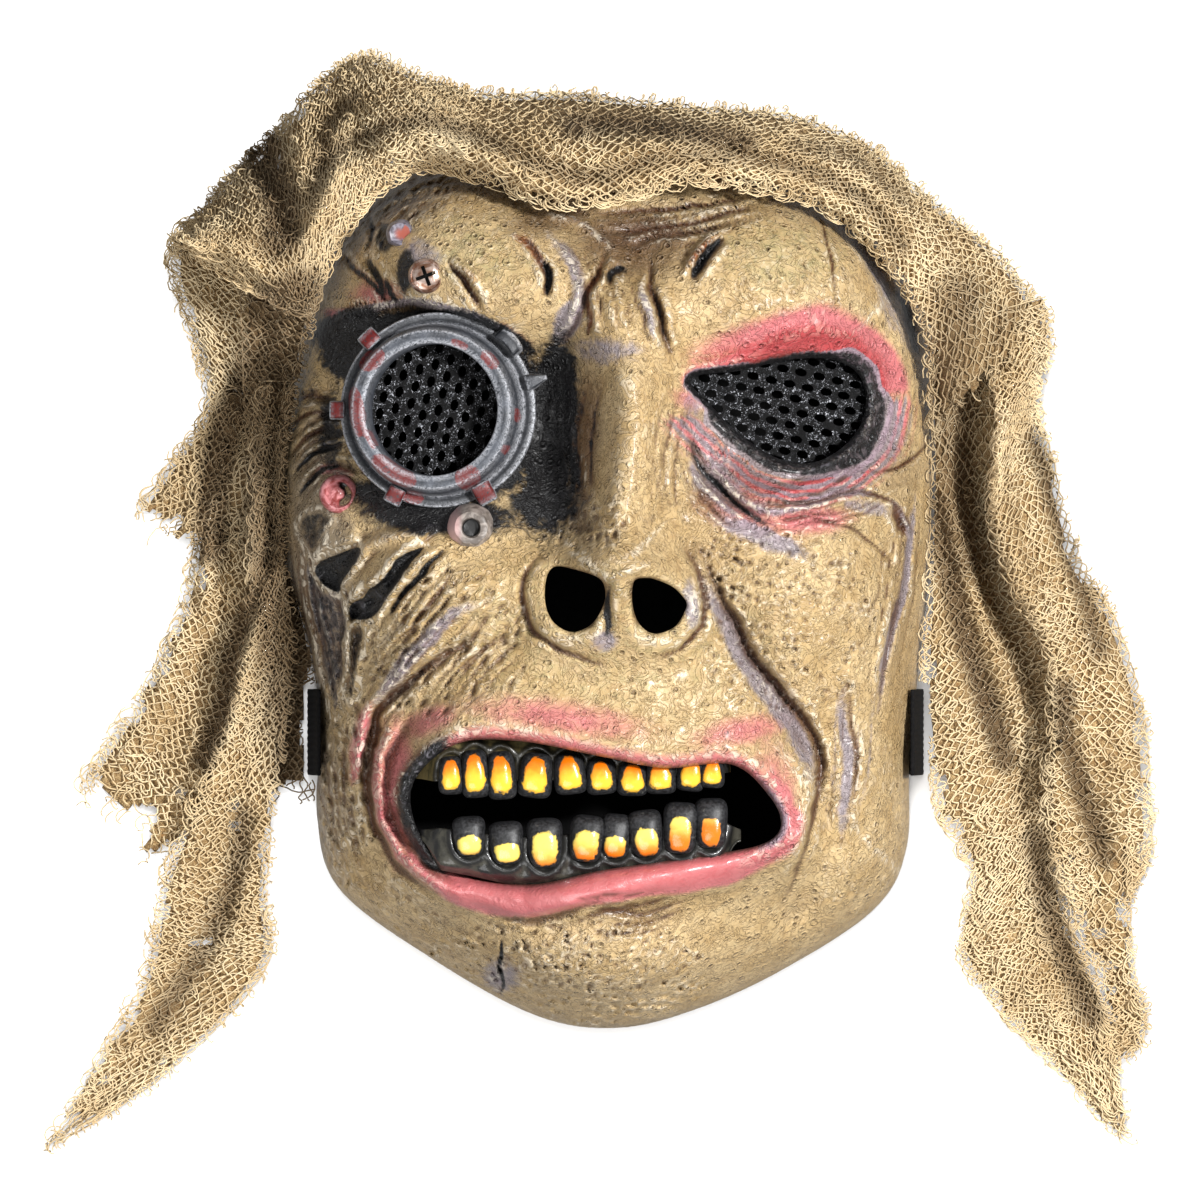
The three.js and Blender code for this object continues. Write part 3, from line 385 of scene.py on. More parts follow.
# Families of fine wrinkles, laid side by side between two guiding lines
WRINKLES = [
    # first line, last line, how many, half width, rise, and the paint, if not plain
    ([-94.5, 60, -89, 62.5, -83.5, 63.5, -78.5, 62.5], [-89.5, 26.5, -85.5, 33.5, -79.5, 38, -71.5, 38],
     12, 0.75, -1.7, {"brown": 0.5, "black": 0.2}),
    ([-93, 24, -91.5, 6, -88, -15, -85.5, -36], [-85.5, 21, -83.5, 3, -80, -15, -77, -36], 7, 0.6, -1.1,
     {"brown": 0.6}),
    ([-85.5, -36, -83.5, -54, -80, -72, -74, -87], [-74, -36, -75.5, -54, -72.5, -72, -65.5, -87], 7,
     0.6, -1),
    ([-43.5, 15.5, -53, 3, -63.5, -12, -73.5, -30], [-27.5, 0, -38, -12, -53, -27, -64, -42], 10, 0.6,
     -1),
    ([-50, -27, -43.5, -20.5, -37, -12.5, -29, -6.5], [-43.5, -36.5, -37, -30, -29, -21.5, -22, -15], 6,
     0.6, -0.9, {"brown": 0.6}),
    ([28, 30, 34.5, 22, 43.5, 17.5, 53.5, 15], [31, 12, 38, 6, 46.5, 3, 55.5, 2.5], 5, 0.6, -0.6,
     {"brown": 0.35}),
    ([27.5, 54, 31, 45, 37.5, 37, 45.5, 31], [23.5, 44.5, 26, 34, 32, 26, 40, 20], 8, 0.55, -0.9,
     {"brown": 0.45}),
    ([49, 30, 61, 30, 73, 34, 82.5, 41.5], [50, 21, 63.5, 23, 79, 26.5, 93.5, 33.5], 8, 0.55, -0.9),
    ([89.5, 30, 86, 12, 82.5, -3.5, 79.5, -20.5], [97.5, 39, 95.5, 12, 91.5, -12, 86, -36], 5, 0.6, -0.9),
    ([-2, 116.5, 13, 118, 31, 120, 55, 122.5], [13, 104, 28, 107.5, 43, 112, 58, 118], 10, 0.6, -1),
    ([-76, 108.5, -67.5, 118, -53, 124, -35, 125.5], [-69.5, 102.5, -61.5, 111.5, -49.5, 117.5, -35,
      119], 7, 0.6, -0.9),
    ([-79.5, 90, -72.5, 89, -64, 90.5, -55.5, 91], [-80, 84, -72.5, 86.5, -60.5, 89, -47, 87.5], 5, 0.55,
     -0.8, {"pink": 0.4, "brown": 0.3}),
    ([-14.5, 112, -8, 103, -4, 93, -5, 81], [13, 101.5, 11.5, 93, 13, 84, 16, 75], 8, 0.6, -0.9),
    ([20, 65, 16, 54, 14.5, 39, 17, 24], [28, 60, 24.5, 48, 23.5, 33, 28, 21], 5, 0.6, -0.8,
     {"brown": 0.45}),
    ([-9.5, 69, -12.5, 57, -12.5, 42, -9.5, 24], [1, 66, -2, 54, -2.5, 39, -1.5, 21], 6, 0.6, -0.9,
     {"black": 0.4}),
    ([-67, -39, -69.5, -51, -67.5, -66, -60.5, -81], [-59.5, -41, -62.5, -53, -60.5, -67, -52, -80.5], 6,
     0.6, -0.8, {"red": 0.4}),
    ([-11, -90, 1, -89, 13, -88, 28, -85], [-5, -100, 5.5, -99, 17.5, -98, 29.5, -93.5], 5, 0.6, -0.9,
     {"brown": 0.6}),
    ([72.5, -18, 71, -36, 70.5, -57, 67, -75], [80.5, -12, 82.5, -33, 80.5, -54, 76, -75], 4, 0.6, -0.8,
     {"lavender": 0.5}),
]

# Paint laid on with a wide soft brush, and painted shade laid on the same way: strength, middle, radii,
# turn, flatness
WASHES = {
    # painted shade: the grey darkens the left side, turned from the key light, and the skin under the
    # hood's hem
    "grey": [
        (0.75, (-84, 12), (14, 57), 4, 3), (0.6, (-62, 116), (24, 13), 35, 3),
        (0.55, (-86, -54), (18, 45), 0, 3), (0.6, (13, 110), (18, 7), -6, 3),
    ],
    # painted shade: the hollow darkens the skin under the hood's hem, between the brows and beside the
    # bare eye
    "hollow": [
        (0.9, (-11, 116), (18, 7), 20, 3), (0.8, (10, 107), (24, 12), -6, 3),
        (0.5, (41, 34), (23, 12), 24, 3),
        (0.8, (16, 110), (17, 7), -8, 3), (0.5, (90, 39), (9, 12), 0, 3),
    ],
    "brown": [
        # the first four browns are painted shade: under the hood's hem, between the brows, on the nose's
        # left side and under the lower lip
        (0.5, (18, 111), (16, 5), -8, 3), (0.45, (9, 105), (14, 13), 0, 3),
        (0.7, (-4, 48), (6, 27), -4, 3), (0.5, (9, -94), (18, 5), 4, 2.5),
        (0.35, (92, -12), (8, 54), 0, 3),
    ],
    "black": [
        # painted shade among the blacks: the socket round the eyepiece (-44, 56), (-53, 54), (-47, 25) and
        # (-59, 30), the deep socket left of the nose and the nose's shadow on the cheek (-14, 51) and
        # (-16, 30), and the shadows beside the peg and the screw (-64, 108) and (-57, 98)
        (0.95, (-74, 81), (13, 7), 6, 3), (0.5, (-80, 51), (5, 15), 0, 3),
        (0.9, (-44, 56), (32, 29), 0, 6), (0.3, (-53, 54), (44, 37), 0, 5),
        (0.9, (-74, 76), (10, 11), 10, 3), (0.8, (-47, 25), (25, 6), -4, 3),
        (1, (-14, 51), (8, 28), -6, 3), (0.7, (-16, 30), (12, 13), 20, 2),
        (0.75, (-64, 108), (3, 5), 0, 3), (0.75, (-57, 98), (3, 7), 0, 3),
        (0.7, (-59, 30), (18, 6), -12, 3),
    ],
    "pink": [
        (0.6, (28, 60), (6, 4), 0, 2), (0.7, (63, 24), (15, 5), 4, 3),
        (0.5, (70, 48), (18, 15), 30, 3), (0.9, (-76, 86), (7, 2), -12, 3),
        (0.6, (-66, 92), (9, 4), 0, 3), (0.5, (-29, 80), (11, 3), -18, 3),
        (0.8, (-60, -57), (6, 22), 0, 3), (0.6, (-50, -36), (11, 5), 24, 2.5),
        (0.55, (52, -59), (9, 19), 0, 3), (0.6, (-11, -35), (30, 6), -8, 2.5),
        (0.6, (43, -39), (17, 5), 12, 2.5), (0.6, (46, 26), (17, 8), -16, 2.5),
    ],
    "lavender": [
        (0.8, (49, 19), (18, 4), -22, 3), (0.6, (86, 51), (6, 12), 10, 3),
        (0.5, (-80, -2), (4, 9), -20, 3), (0.95, (-9, 83), (4, 8), -20, 3),
        (0.6, (3, 74), (13, 5), 0, 3), (0.6, (-53, 101), (8, 9), 0, 3),
        (0.7, (36, 35), (7, 13), 40, 3), (0.5, (31, 57), (7, 9), 30, 3),
        (0.6, (81, 28), (10, 3), -14, 3), (0.7, (2, -12), (5, 4), 0, 3),
        (0.7, (28, -1), (3, 9), 0, 3), (0.7, (-29, -113), (7, 7), 0, 2.5),
        (0.5, (90, 90), (7, 18), 24, 3),
    ],
    "olive": [
        (0.5, (-38, -44), (12, 4), 14, 3), (0.42, (55, 103), (30, 17), 0, 3),
        (0.4, (-35, 102), (27, 18), -20, 3), (0.35, (1, -12), (84, 36), 0, 4),
    ],
}

# Fields of open pores: count, middle, radii, turn, pore radius, stretch, direction, depth
PORES = [
    (420, (-11, -116), (45, 22), 0, 0.85, 1.1, 20, 2),
    (300, (55, -3), (27, 33), 10, 0.8, 1.2, 110, 1.5),
    (60, (-2, 23), (11, 9), 0, 0.85, 1.7, 60, 1.5),
    (150, (-47, -12), (27, 24), -30, 0.8, 2.4, 50, 1.6),
    (160, (49, 99), (27, 21), 0, 0.75, 1, 0, 0.9),
    (130, (-35, 111), (27, 15), -20, 0.75, 1.3, 160, 0.9),
    (120, (-65, 120), (24, 14), 35, 0.7, 3, 42, 1.6),
    (150, (-79, -54), (10, 36), 0, 0.75, 3.2, 95, 1.7),
    (70, (-65, -99), (18, 18), 0, 0.8, 2, 125, 1.4),
    (110, (76, -66), (18, 30), 0, 0.75, 1.2, 90, 1),
]
PAINTS = ("red", "pink", "lavender", "black", "brown", "pale", "grey", "olive", "rust", "lip", "hollow")
SKIN_CELLS = (280, 344)
LINING_CELLS = (64, 84)
FLAT_PART = 0.76
ROLLS = {"eye": 1.6, "mouth": 2.2, "nostril": 1.8, "sight": 1.0}
# the raised rim round each opening: how far out it lies, its rise and its half width
LIDS = {"eye": (2.2, 1.8, 1.5), "mouth": (3.0, 0.8, 2.4), "nostril": (3.4, 1.3, 2.6), "sight": (3, 0, 1)}
# the lips: how wide the lower and the upper one are, and how far they swell
LOWER_LIP_WIDTH, UPPER_LIP_WIDTH = 11.5, 7.0
LIP_SWELL = 3.2
openings = [
    ("eye", curved(EYE_OPENING, True, 0.5)),
    ("mouth", curved(MOUTH_OPENING, True, 0.5)),
    ("sight", np.array([(EYEPIECE[0] + 27 * math.cos(a), EYEPIECE[1] + 27 * math.sin(a))
                        for a in np.arange(0, math.tau, 0.02)])),
]
NOSTRILS = [
    [-12, 10, -6.5, 9, 0.5, 6.5, 2.5, 2.5, 1.5, -2.5, -2, -7.5, -7.5, -9.5, -12.5, -7, -15, -2.5,
     -15.5, 3, -14.5, 8],
    [11, 5.5, 15, 6.5, 19, 5.5, 23, 3.5, 26.5, -0.5, 26, -3.5, 23, -8, 17, -10, 12.5, -7, 10.5, -1],
]
openings += [("nostril", curved(edge, True, 0.5)) for edge in NOSTRILS]


def plan(a, b, inset):
    """The place in the face's plan of a square grid's points, from -1 to 1."""
    w = np.maximum(np.abs(a), np.abs(b))
    angle = np.where(
        np.abs(b) >= np.abs(a),
        math.pi / 2 - math.pi / 4 * a / np.where(b == 0, 1, b) + math.pi * (b < 0),
        math.pi / 4 * b / np.where(a == 0, 1, a) + math.pi * (a < 0),
    )
    bend = np.sin(np.clip((w - FLAT_PART) / (1 - FLAT_PART), 0, 1) * math.pi / 2)
    share = np.where(w < FLAT_PART, w / FLAT_PART * 0.9, 0.9 + 0.1 * bend)
    r = (rim_radius(angle) - inset) * share
    return FACE_CENTRE[0] + r * np.cos(angle), FACE_CENTRE[1] + r * np.sin(angle)


def ripple(x, y, size, seed):
    """Smooth noise from -1 to 1 whose lumps are about size millimetres across."""
    return np.array([noise.noise((px / size, py / size, seed)) for px, py in zip(x, y)])


def nearby(x, y, line, reach):
    low, high = np.min(line, axis=0) - reach, np.max(line, axis=0) + reach
    return np.flatnonzero((x > low[0]) & (x < high[0]) & (y > low[1]) & (y < high[1]))


WAVER = 0.8
PLAIN_WRINKLE = {"brown": 0.5}


def wrinkle_lines():
    """Each family's lines, some broken short, and none quite like the next."""
    chance = random.Random(5)
    for first, last, count, width, rise, *painted in WRINKLES:
        first, last = (np.array(each).reshape(-1, 2) for each in (first, last))
        for k in range(count):
            share = (k + chance.uniform(-0.3, 0.3)) / max(count - 1, 1)
            line = first + (last - first) * share
            line = line + np.array([[chance.uniform(-WAVER, WAVER) for _ in "xy"] for _ in line])
            if chance.random() < 0.45:
                cut = chance.choice((0, -1))
                line[cut] = (line[cut] + line[1 if cut == 0 else -2]) / 2
            colours = painted[0] if painted else PLAIN_WRINKLE
            yield line, width * chance.uniform(0.85, 1.3), rise * chance.uniform(0.5, 1.4), colours


CREASE_PAINTS = ("black", "brown", "rust")
PLAIN_CREASE = {"brown": 0.8}


def carve(x, y):
    """The finished height of the skin and how much of each paint lies on it."""

    def lay(colour, marks):
        paint[colour][near] = np.maximum(paint[colour][near], marks)

    z = face_forms(x, y)
    wx = x + 0.9 * ripple(x, y, 7, 1.5) + 0.35 * ripple(x, y, 2.5, 2.5)
    wy = y + 0.9 * ripple(x, y, 7, 8.5) + 0.35 * ripple(x, y, 2.5, 9.5)
    paint = {name: np.zeros(x.shape) for name in PAINTS}
    inner = ease((1 - rim_share(x, y)) / 0.16, 0, 1)
    for rise, *where in LUMPS:
        z += inner * rise * swelling(wx, wy, *where)
    for rise, width, points in SWEEPS:
        line = curved(points)
        near = nearby(x, y, line, 3 * width)
        d, _, along = trace(wx[near], wy[near], line)
        taper = ease(along, 0, 0.2) * ease(1 - along, 0, 0.2)
        z[near] += inner[near] * rise * taper * np.exp(-(d / width) ** 2)
    for points, width, rise, *painted in [*FOLDS, *wrinkle_lines()]:
        line = curved(points)
        near = nearby(x, y, line, 4 * width + 2)
        d, _, along = trace(wx[near], wy[near], line)
        taper = np.sin(math.pi * np.clip(along, 0.001, 0.999)) ** 0.6
        bank = np.exp(-((d / width - 2) / 0.8) ** 2)
        z[near] += 1.25 * rise * taper * (np.exp(-(d / width) ** 2) - 0.35 * bank)
        for colour, strength in (painted[0] if painted else PLAIN_CREASE).items():
            if colour in CREASE_PAINTS and rise < 0:
                mark = np.exp(-(d / (0.7 * width)) ** 2) + 0.25 * np.exp(-(d / (2.4 * width)) ** 2)
            else:
                mark = np.exp(-(d / (1.35 * width)) ** 2)
            lay(colour, strength * taper * mark)
    for points, step, reach, colours in FLAPS:
        line = curved(points)
        near = nearby(x, y, line, 3 * reach)
        d, side, along = trace(wx[near], wy[near], line)
        taper = ease(along, 0, 0.12) * ease(1 - along, 0, 0.12)
        signed = d * side
        z[near] += step * taper * ease(signed, -0.7, 1.1) * np.exp(-np.abs(signed) / reach)
        for colour, strength in colours.items():
            lay(colour, strength * taper * np.exp(-((signed - 0.8) / 1.5) ** 4))
    for points, depth, colours in RECESSES:
        outline = curved(points, True, 1.0)
        near = nearby(x, y, outline, 4)
        d = trace(wx[near], wy[near], np.vstack([outline, outline[:1]]))[0]
        signed = np.where(inside(wx[near], wy[near], outline), d, -d)
        edge = np.exp(-((signed + 1.2) / 0.8) ** 2)
        z[near] += 0.8 * edge - depth * ease(signed, -0.4, 1.6)
        lay("pale", 0.8 * edge)
        for colour, strength in colours.items():
            lay(colour, strength * ease(signed, -0.5, 0.9))
    for colour, washes in WASHES.items():
        for strength, *where in washes:
            paint[colour] = np.maximum(paint[colour], strength * swelling(wx, wy, *where))
    chance = random.Random(11)
    order = np.argsort(x)
    sorted_x = x[order]
    for count, centre, radii, turn, size, stretch, direction, depth in PORES:
        for _ in range(count):
            reach, a = math.sqrt(chance.random()), chance.uniform(0, math.tau)
            px, py = turned(radii[0] * reach * math.cos(a), radii[1] * reach * math.sin(a), turn, centre)
            radius = 0.8 * size * chance.uniform(0.8, 1.35)
            bite = depth * chance.uniform(0.6, 1.25)
            lean = direction + chance.uniform(-22, 22)
            far = 3.2 * radius * stretch
            low, high = np.searchsorted(sorted_x, (px - far, px + far))
            near = order[low:high]
            near = near[np.abs(y[near] - py) < far]
            along, across = turned(x[near] - px, y[near] - py, -lean)
            q = np.hypot(along / stretch, across) / radius
            hole = np.exp(-q ** 2)
            lip = np.exp(-((q - 1.75) / 0.6) ** 2)
            z[near] += 0.9 * bite * (0.3 * lip - hole)
            # painted shade in each pore's pit
            lay("hollow", 0.5 * hole ** 2)
            lay("pale", 0.35 * lip)
    z += 0.55 * ripple(x, y, 8, 20.5) + 0.3 * ripple(x, y, 3.2, 30.5)
    for name, outline in openings:
        roll = ROLLS[name]
        near = nearby(x, y, outline, 22 if name == "eye" else roll + 12)
        loop = np.vstack([outline[:: 2 if len(outline) > 150 else 1], outline[:1]])
        d = trace(x[near], y[near], loop)[0]
        away, rise, width = LIDS[name]
        z[near] += rise * np.exp(-((d - away) / width) ** 2)
        middle = outline.mean(axis=0)
        if name == "eye":
            lower = ease(middle[1] + 0.1 * (x[near] - middle[0]) - y[near], -3, 4)
            outer = ease(x[near], 26, 66)
            corner = ease(x[near], 66, 80)
            band = d + 0.9 * ripple(x[near], y[near], 5, 51.5)
            bruise = lower * ease(19 - band, 0, 9) * ease(band, 4.2, 6.5)
            stripe = np.sin(2.5 * band + 2 * ripple(x[near], y[near], 9, 61.5))
            z[near] += 0.5 * bruise * stripe
            for colour, share in (
                ("black", 0.9 * ease(1.2 - d, 0, 0.6)),
                ("black", 0.46 * ease(2.2 + 2.4 * lower + 3.0 * corner - band, 0, 1.2)),
                ("lavender", ease(2.4 + 3.6 * lower + 4.0 * corner - band, 0, 1.5)),
                ("lavender", 0.85 * bruise * (0.6 - 0.4 * stripe)),
                ("pink", 0.9 * bruise * (0.6 + 0.4 * stripe)),
                # painted shade in the troughs of the bruise's ridges
                ("hollow", 0.5 * bruise * (0.5 - 0.5 * stripe)),
            ):
                lay(colour, share)
            above = (1 - lower) * (y[near] > middle[1] - 8)
            lay("red", 0.85 * above * ease(2.6 + 6.0 * outer - d, 0, 3))
            lay("pink", 0.8 * above * ease(5 + 11 * outer - d, 0, 5))
        if name == "mouth":
            lower = ease(middle[1] + 0.06 * (x[near] - middle[0]) - y[near], -6, 6)
            reach = UPPER_LIP_WIDTH + (LOWER_LIP_WIDTH - UPPER_LIP_WIDTH) * lower
            full = ease(x[near], -58, -40) * ease(52 - x[near], 0, 14)
            reach = reach * (0.8 + 0.2 * full) + 0.8 * ripple(x[near], y[near], 9, 41.5)
            swell = LIP_SWELL * (0.25 + 0.75 * lower) * (0.35 + 0.65 * full)
            z[near] += swell * np.sin(math.pi * np.clip(d / reach, 0, 1)) ** 0.8
            share = ease(1 - d / reach, 0, 0.95 - 0.3 * lower - 0.35 * full * lower)
            paint["lip"][near] = share * (0.3 + 0.7 * lower) * (0.1 + 0.9 * full)
            left, right = ease(-x[near], 38, 52), ease(x[near], 40, 54)
            for colour, strength in (
                ("pink", share * (0.8 + 0.2 * lower)),
                ("red", 0.34 * share * lower),
                ("brown", left * ease(7.5 - d, 0, 5)),
                ("black", 0.8 * left * ease(5.5 - d, 0, 4)),
                ("lavender", 0.7 * right * ease(4.5 - d, 0, 4)),
            ):
                lay(colour, strength)
        d = np.minimum(d, roll)
        z[near] -= roll - np.sqrt(roll ** 2 - (roll - d) ** 2)
    return np.maximum(z, rim_height(y)), paint


def open_rings(bm):
    """The open edges of a mesh as rings, each a list of its points in order, widest first."""
    left = {e for e in bm.edges if e.is_boundary}
    rings = []
    while left:
        edge = left.pop()
        ring = [edge.verts[0], edge.verts[1]]
        while ring[-1] is not ring[0]:
            edge = next(e for e in ring[-1].link_edges if e in left)
            left.remove(edge)
            ring.append(edge.other_vert(ring[-1]))
        ring.pop()
        twice_area = sum(p.co.x * q.co.y - q.co.x * p.co.y for p, q in zip(ring, ring[1:] + ring[:1]))
        rings.append((abs(twice_area), ring if twice_area > 0 else ring[::-1]))
    rings.sort(key=lambda each: -each[0])
    return [ring for _, ring in rings]


def ring_round(rings, middle):
    """The ring whose middle is nearest to a place, of all but the widest, the rim."""
    return min(rings[1:], key=lambda ring: np.hypot(
        sum(v.co.x for v in ring) / len(ring) - middle[0],
        sum(v.co.y for v in ring) / len(ring) - middle[1],
    ))


def lay_on(ring, outline):
    """Move a ring's points onto an outline, each to the nearest place and in their order."""
    after = np.roll(outline, -1, axis=0)
    if (outline[:, 0] * after[:, 1] - outline[:, 1] * after[:, 0]).sum() < 0:
        outline = outline[::-1]
    size, count = len(outline), len(ring)
    at = np.array([np.hypot(outline[:, 0] - v.co.x, outline[:, 1] - v.co.y).argmin() for v in ring])
    steps = (np.diff(at, append=at[0]) + size / 2) % size - size / 2
    at = at[0] + np.concatenate([[0], np.cumsum(steps)[:-1]])
    gaps = 0.12 * np.arange(3 * count)
    line = np.concatenate([at - size, at, at + size]) - gaps
    line = (np.maximum.accumulate(line) + np.minimum.accumulate(line[::-1])[::-1]) / 2 + gaps
    for v, t in zip(ring, line[count:2 * count]):
        low = outline[int(t // 1) % size]
        high = outline[int(t // 1 + 1) % size]
        v.co.x, v.co.y = low + (high - low) * (t % 1)


def zip_rings(bm, first, second):
    """Triangles from one ring of points to another, each across the shorter diagonal."""
    start = min(range(len(second)), key=lambda k: (second[k].co - first[0].co).length)
    second = second[start:] + second[:start]
    i = j = 0
    while i < len(first) or j < len(second):
        a, b = first[i % len(first)], second[j % len(second)]
        next_a, next_b = first[(i + 1) % len(first)], second[(j + 1) % len(second)]
        ahead = 0.5 * abs((i + 1) / len(first) - j / len(second)) * len(first)
        behind = 0.5 * abs(i / len(first) - (j + 1) / len(second)) * len(first)
        along, across = (next_a.co - b.co).length + ahead, (next_b.co - a.co).length + behind
        if j >= len(second) or (i < len(first) and along <= across):
            bm.faces.new((a, next_a, b))
            i += 1
        else:
            bm.faces.new((a, next_b, b))
            j += 1


def ring_below(bm, ring, place):
    """A ring of new points joined to the last by a band of faces."""
    made = [bm.verts.new(place(v.co)) for v in ring]
    for i, v in enumerate(ring):
        j = (i + 1) % len(ring)
        bm.faces.new((v, ring[j], made[j], made[i]))
    return made


def grid_shell(cells, inset, holes, height):
    """A grid over the face's plan, with a hole for each opening and its points on their edges."""
    bpy.ops.object.select_all(action="DESELECT")
    bpy.ops.mesh.primitive_grid_add(x_subdivisions=cells[0], y_subdivisions=cells[1], size=2)
    made = bpy.context.object
    bm = bmesh.new()
    bm.from_mesh(made.data)
    bpy.data.objects.remove(made)
    square = np.array([v.co[:2] for v in bm.verts])
    x, y = plan(square[:, 0], square[:, 1], inset)
    for v, px, py in zip(bm.verts, x, y):
        v.co = (px, py, 0)
    faces = list(bm.faces)
    middles = np.array([f.calc_center_median()[:2] for f in faces])
    gone = np.zeros(len(faces), bool)
    for outline in holes:
        gone |= inside(middles[:, 0], middles[:, 1], outline)
    gone = [f for f, g in zip(faces, gone) if g]
    while gone:
        bmesh.ops.delete(bm, geom=gone, context="FACES")
        gone = {f for f in bm.faces if sum(e.is_boundary for e in f.edges) > 2}
        gone |= {v.link_faces[0] for v in bm.verts if sum(e.is_boundary for e in v.link_edges) > 2}
        gone = list(gone)
    rings = open_rings(bm)
    for outline in holes:
        lay_on(ring_round(rings, outline.mean(axis=0)), outline)
    fresh = bpy.data.meshes.new("grid")
    bm.to_mesh(fresh)
    bm.free()
    bm = bmesh.new()
    bm.from_mesh(fresh)
    bpy.data.meshes.remove(fresh)
    place = np.array([v.co[:2] for v in bm.verts])
    z, extra = height(place[:, 0], place[:, 1])
    for v, pz in zip(bm.verts, z):
        v.co.z = pz
    return bm, extra


def piece_of(name, source):
    """A smooth piece in the scene, made of a bmesh or of points in millimetres and faces."""
    mesh = bpy.data.meshes.new(name)
    if isinstance(source, tuple):
        mesh.from_pydata(np.asarray(source[0]) * MM, [], source[1])
    else:
        bmesh.ops.recalc_face_normals(source, faces=source.faces)
        bmesh.ops.scale(source, vec=(MM, MM, MM), verts=source.verts)
        source.to_mesh(mesh)
        source.free()
    mesh.polygons.foreach_set("use_smooth", [True] * len(mesh.polygons))
    made = bpy.data.objects.new(name, mesh)
    bpy.context.collection.objects.link(made)
    return made


def places(piece):
    """The places of a piece's points, in millimetres."""
    co = np.empty(len(piece.data.vertices) * 3)
    piece.data.vertices.foreach_get("co", co)
    return co.reshape(-1, 3) / MM


def lining_height(x, y):
    """A wall's thickness under the lowest of the finished front nearby, and level at the rim."""
    away = np.hypot(x - FACE_CENTRE[0], y - FACE_CENTRE[1])
    level = rim_height(y)
    for i in np.flatnonzero(away < away / rim_share(x, y) - WALL_SIDE - 0.05):
        near = [front_points[k][2] for _, k, _ in front_tree.find_range((x[i], y[i], 0), 5.5)]
        level[i] = max(level[i], min(near) - WALL) if near else level[i]
    return level, None


def widened(outline, factor):
    middle = outline.mean(axis=0)
    return middle + (outline - middle) * factor


front, paint = grid_shell(SKIN_CELLS, 0, [outline for _, outline in openings], carve)
rim_level = {v: rim_height(np.array([v.co.y]))[0] for e in front.edges if e.is_boundary
             for v in e.verts if rim_share(np.array([v.co.x]), np.array([v.co.y]))[0] > 0.995}
for v, level in rim_level.items():
    v.co.z = level
painted_points = len(front.verts)
front_points = [v.co.copy() for v in front.verts]
front_tree = KDTree(painted_points)
for i, p in enumerate(front_points):
    front_tree.insert((p.x, p.y, 0), i)
front_tree.balance()
WALL_WIDENING = {"eye": 1.2, "mouth": 1.06, "nostril": 1.12, "sight": 1.04}
lining, _ = grid_shell(LINING_CELLS, WALL_SIDE,
                       [widened(o, WALL_WIDENING[name]) for name, o in openings], lining_height)
for face in lining.faces:
    face.normal_flip()
    face.material_index = 1
lining_mesh = bpy.data.meshes.new("lining")
lining.to_mesh(lining_mesh)
lining.free()
upper = open_rings(front)
front.from_mesh(lining_mesh)
bpy.data.meshes.remove(lining_mesh)
upper_points = {v for ring in upper for v in ring}
lower = [ring for ring in open_rings(front) if ring[0] not in upper_points]
walls_start = len(front.verts)


# the edge of an opening: how deep it turns in, and the shares of that at which it has points
EDGE_DEPTH = 4.5
EDGE_STEPS = (0.12, 0.4, 1.0)
LID_WIDENING = 1.14


def eye_level(x):
    return EYE_PLANE_HEIGHT + EYE_PLANE_SLOPE * (x - BARE_EYE[0]) + 0.1


for name, outline in openings:
    middle = outline.mean(axis=0)
    ring = lip = ring_round(upper, middle)
    for share in EDGE_STEPS:
        drops = {}
        for v in lip:
            floor = eye_level(v.co.x) if name == "eye" else v.co.z - EDGE_DEPTH
            drops[v.co.x, v.co.y] = v.co.z + (min(floor, v.co.z - 0.5) - v.co.z) * share
        ring = ring_below(front, ring, lambda p: (p.x, p.y, drops[p.x, p.y]))
    if name == "eye":
        ring = ring_below(front, ring, lambda p: (
            *(middle + (np.array((p.x, p.y)) - middle) * LID_WIDENING), eye_level(p.x),
        ))
    zip_rings(front, ring, ring_round(lower, middle))
zip_rings(front, upper[0], lower[0])
skin = piece_of("latex_skin", front)
skin_mesh = skin.data
points = places(skin)

# how hollow or how raised each place is, from its height less the mean of its neighbourhood
ends = np.empty(len(skin_mesh.edges) * 2, int)
skin_mesh.edges.foreach_get("vertices", ends)
ends = ends.reshape(-1, 2)
ends = ends[(ends < painted_points).all(axis=1)]
level = points[:painted_points, 2]
mean = level.copy()
count = np.bincount(ends.ravel(), minlength=painted_points)
depths = []
for rounds in (10, 110):
    for _ in range(rounds):
        total = np.bincount(ends[:, 0], mean[ends[:, 1]], painted_points)
        total += np.bincount(ends[:, 1], mean[ends[:, 0]], painted_points)
        mean = (mean + total) / (1 + count)
    depths.append(mean - level)
depth, broad_depth = depths
inner = ease(1 - rim_share(points[:painted_points, 0], points[:painted_points, 1]), 0.03, 0.12)
# painted shade: the broad hollows and the fine creases are painted darker the deeper they lie
paint["hollow"] = np.maximum(paint["hollow"], 0.7 * inner * np.clip(broad_depth / 4.5 - 0.15, 0, 1))
paint["hollow"] = np.maximum(paint["hollow"], inner * np.clip(depth / 1.2 - 0.1, 0, 1))
paint["pale"] = np.maximum(paint["pale"], 0.6 * np.clip(-depth / 0.9 - 0.15, 0, 1))
for name, colours in (("paint_a", ("red", "pink", "lavender")), ("paint_b", ("black", "brown", "pale")),
                      ("paint_c", ("grey", "olive", "hollow")), ("paint_d", ("rust", "lip"))):
    layer = skin_mesh.attributes.new(name, "FLOAT_COLOR", "POINT")
    values = np.zeros((len(skin_mesh.vertices), 4))
    values[:, 3] = 1
    for channel, colour in enumerate(colours):
        values[:painted_points, channel] = paint[colour]
        if colour == "black":
            values[walls_start:, channel] = 0.9
    layer.data.foreach_set("color", values.ravel())


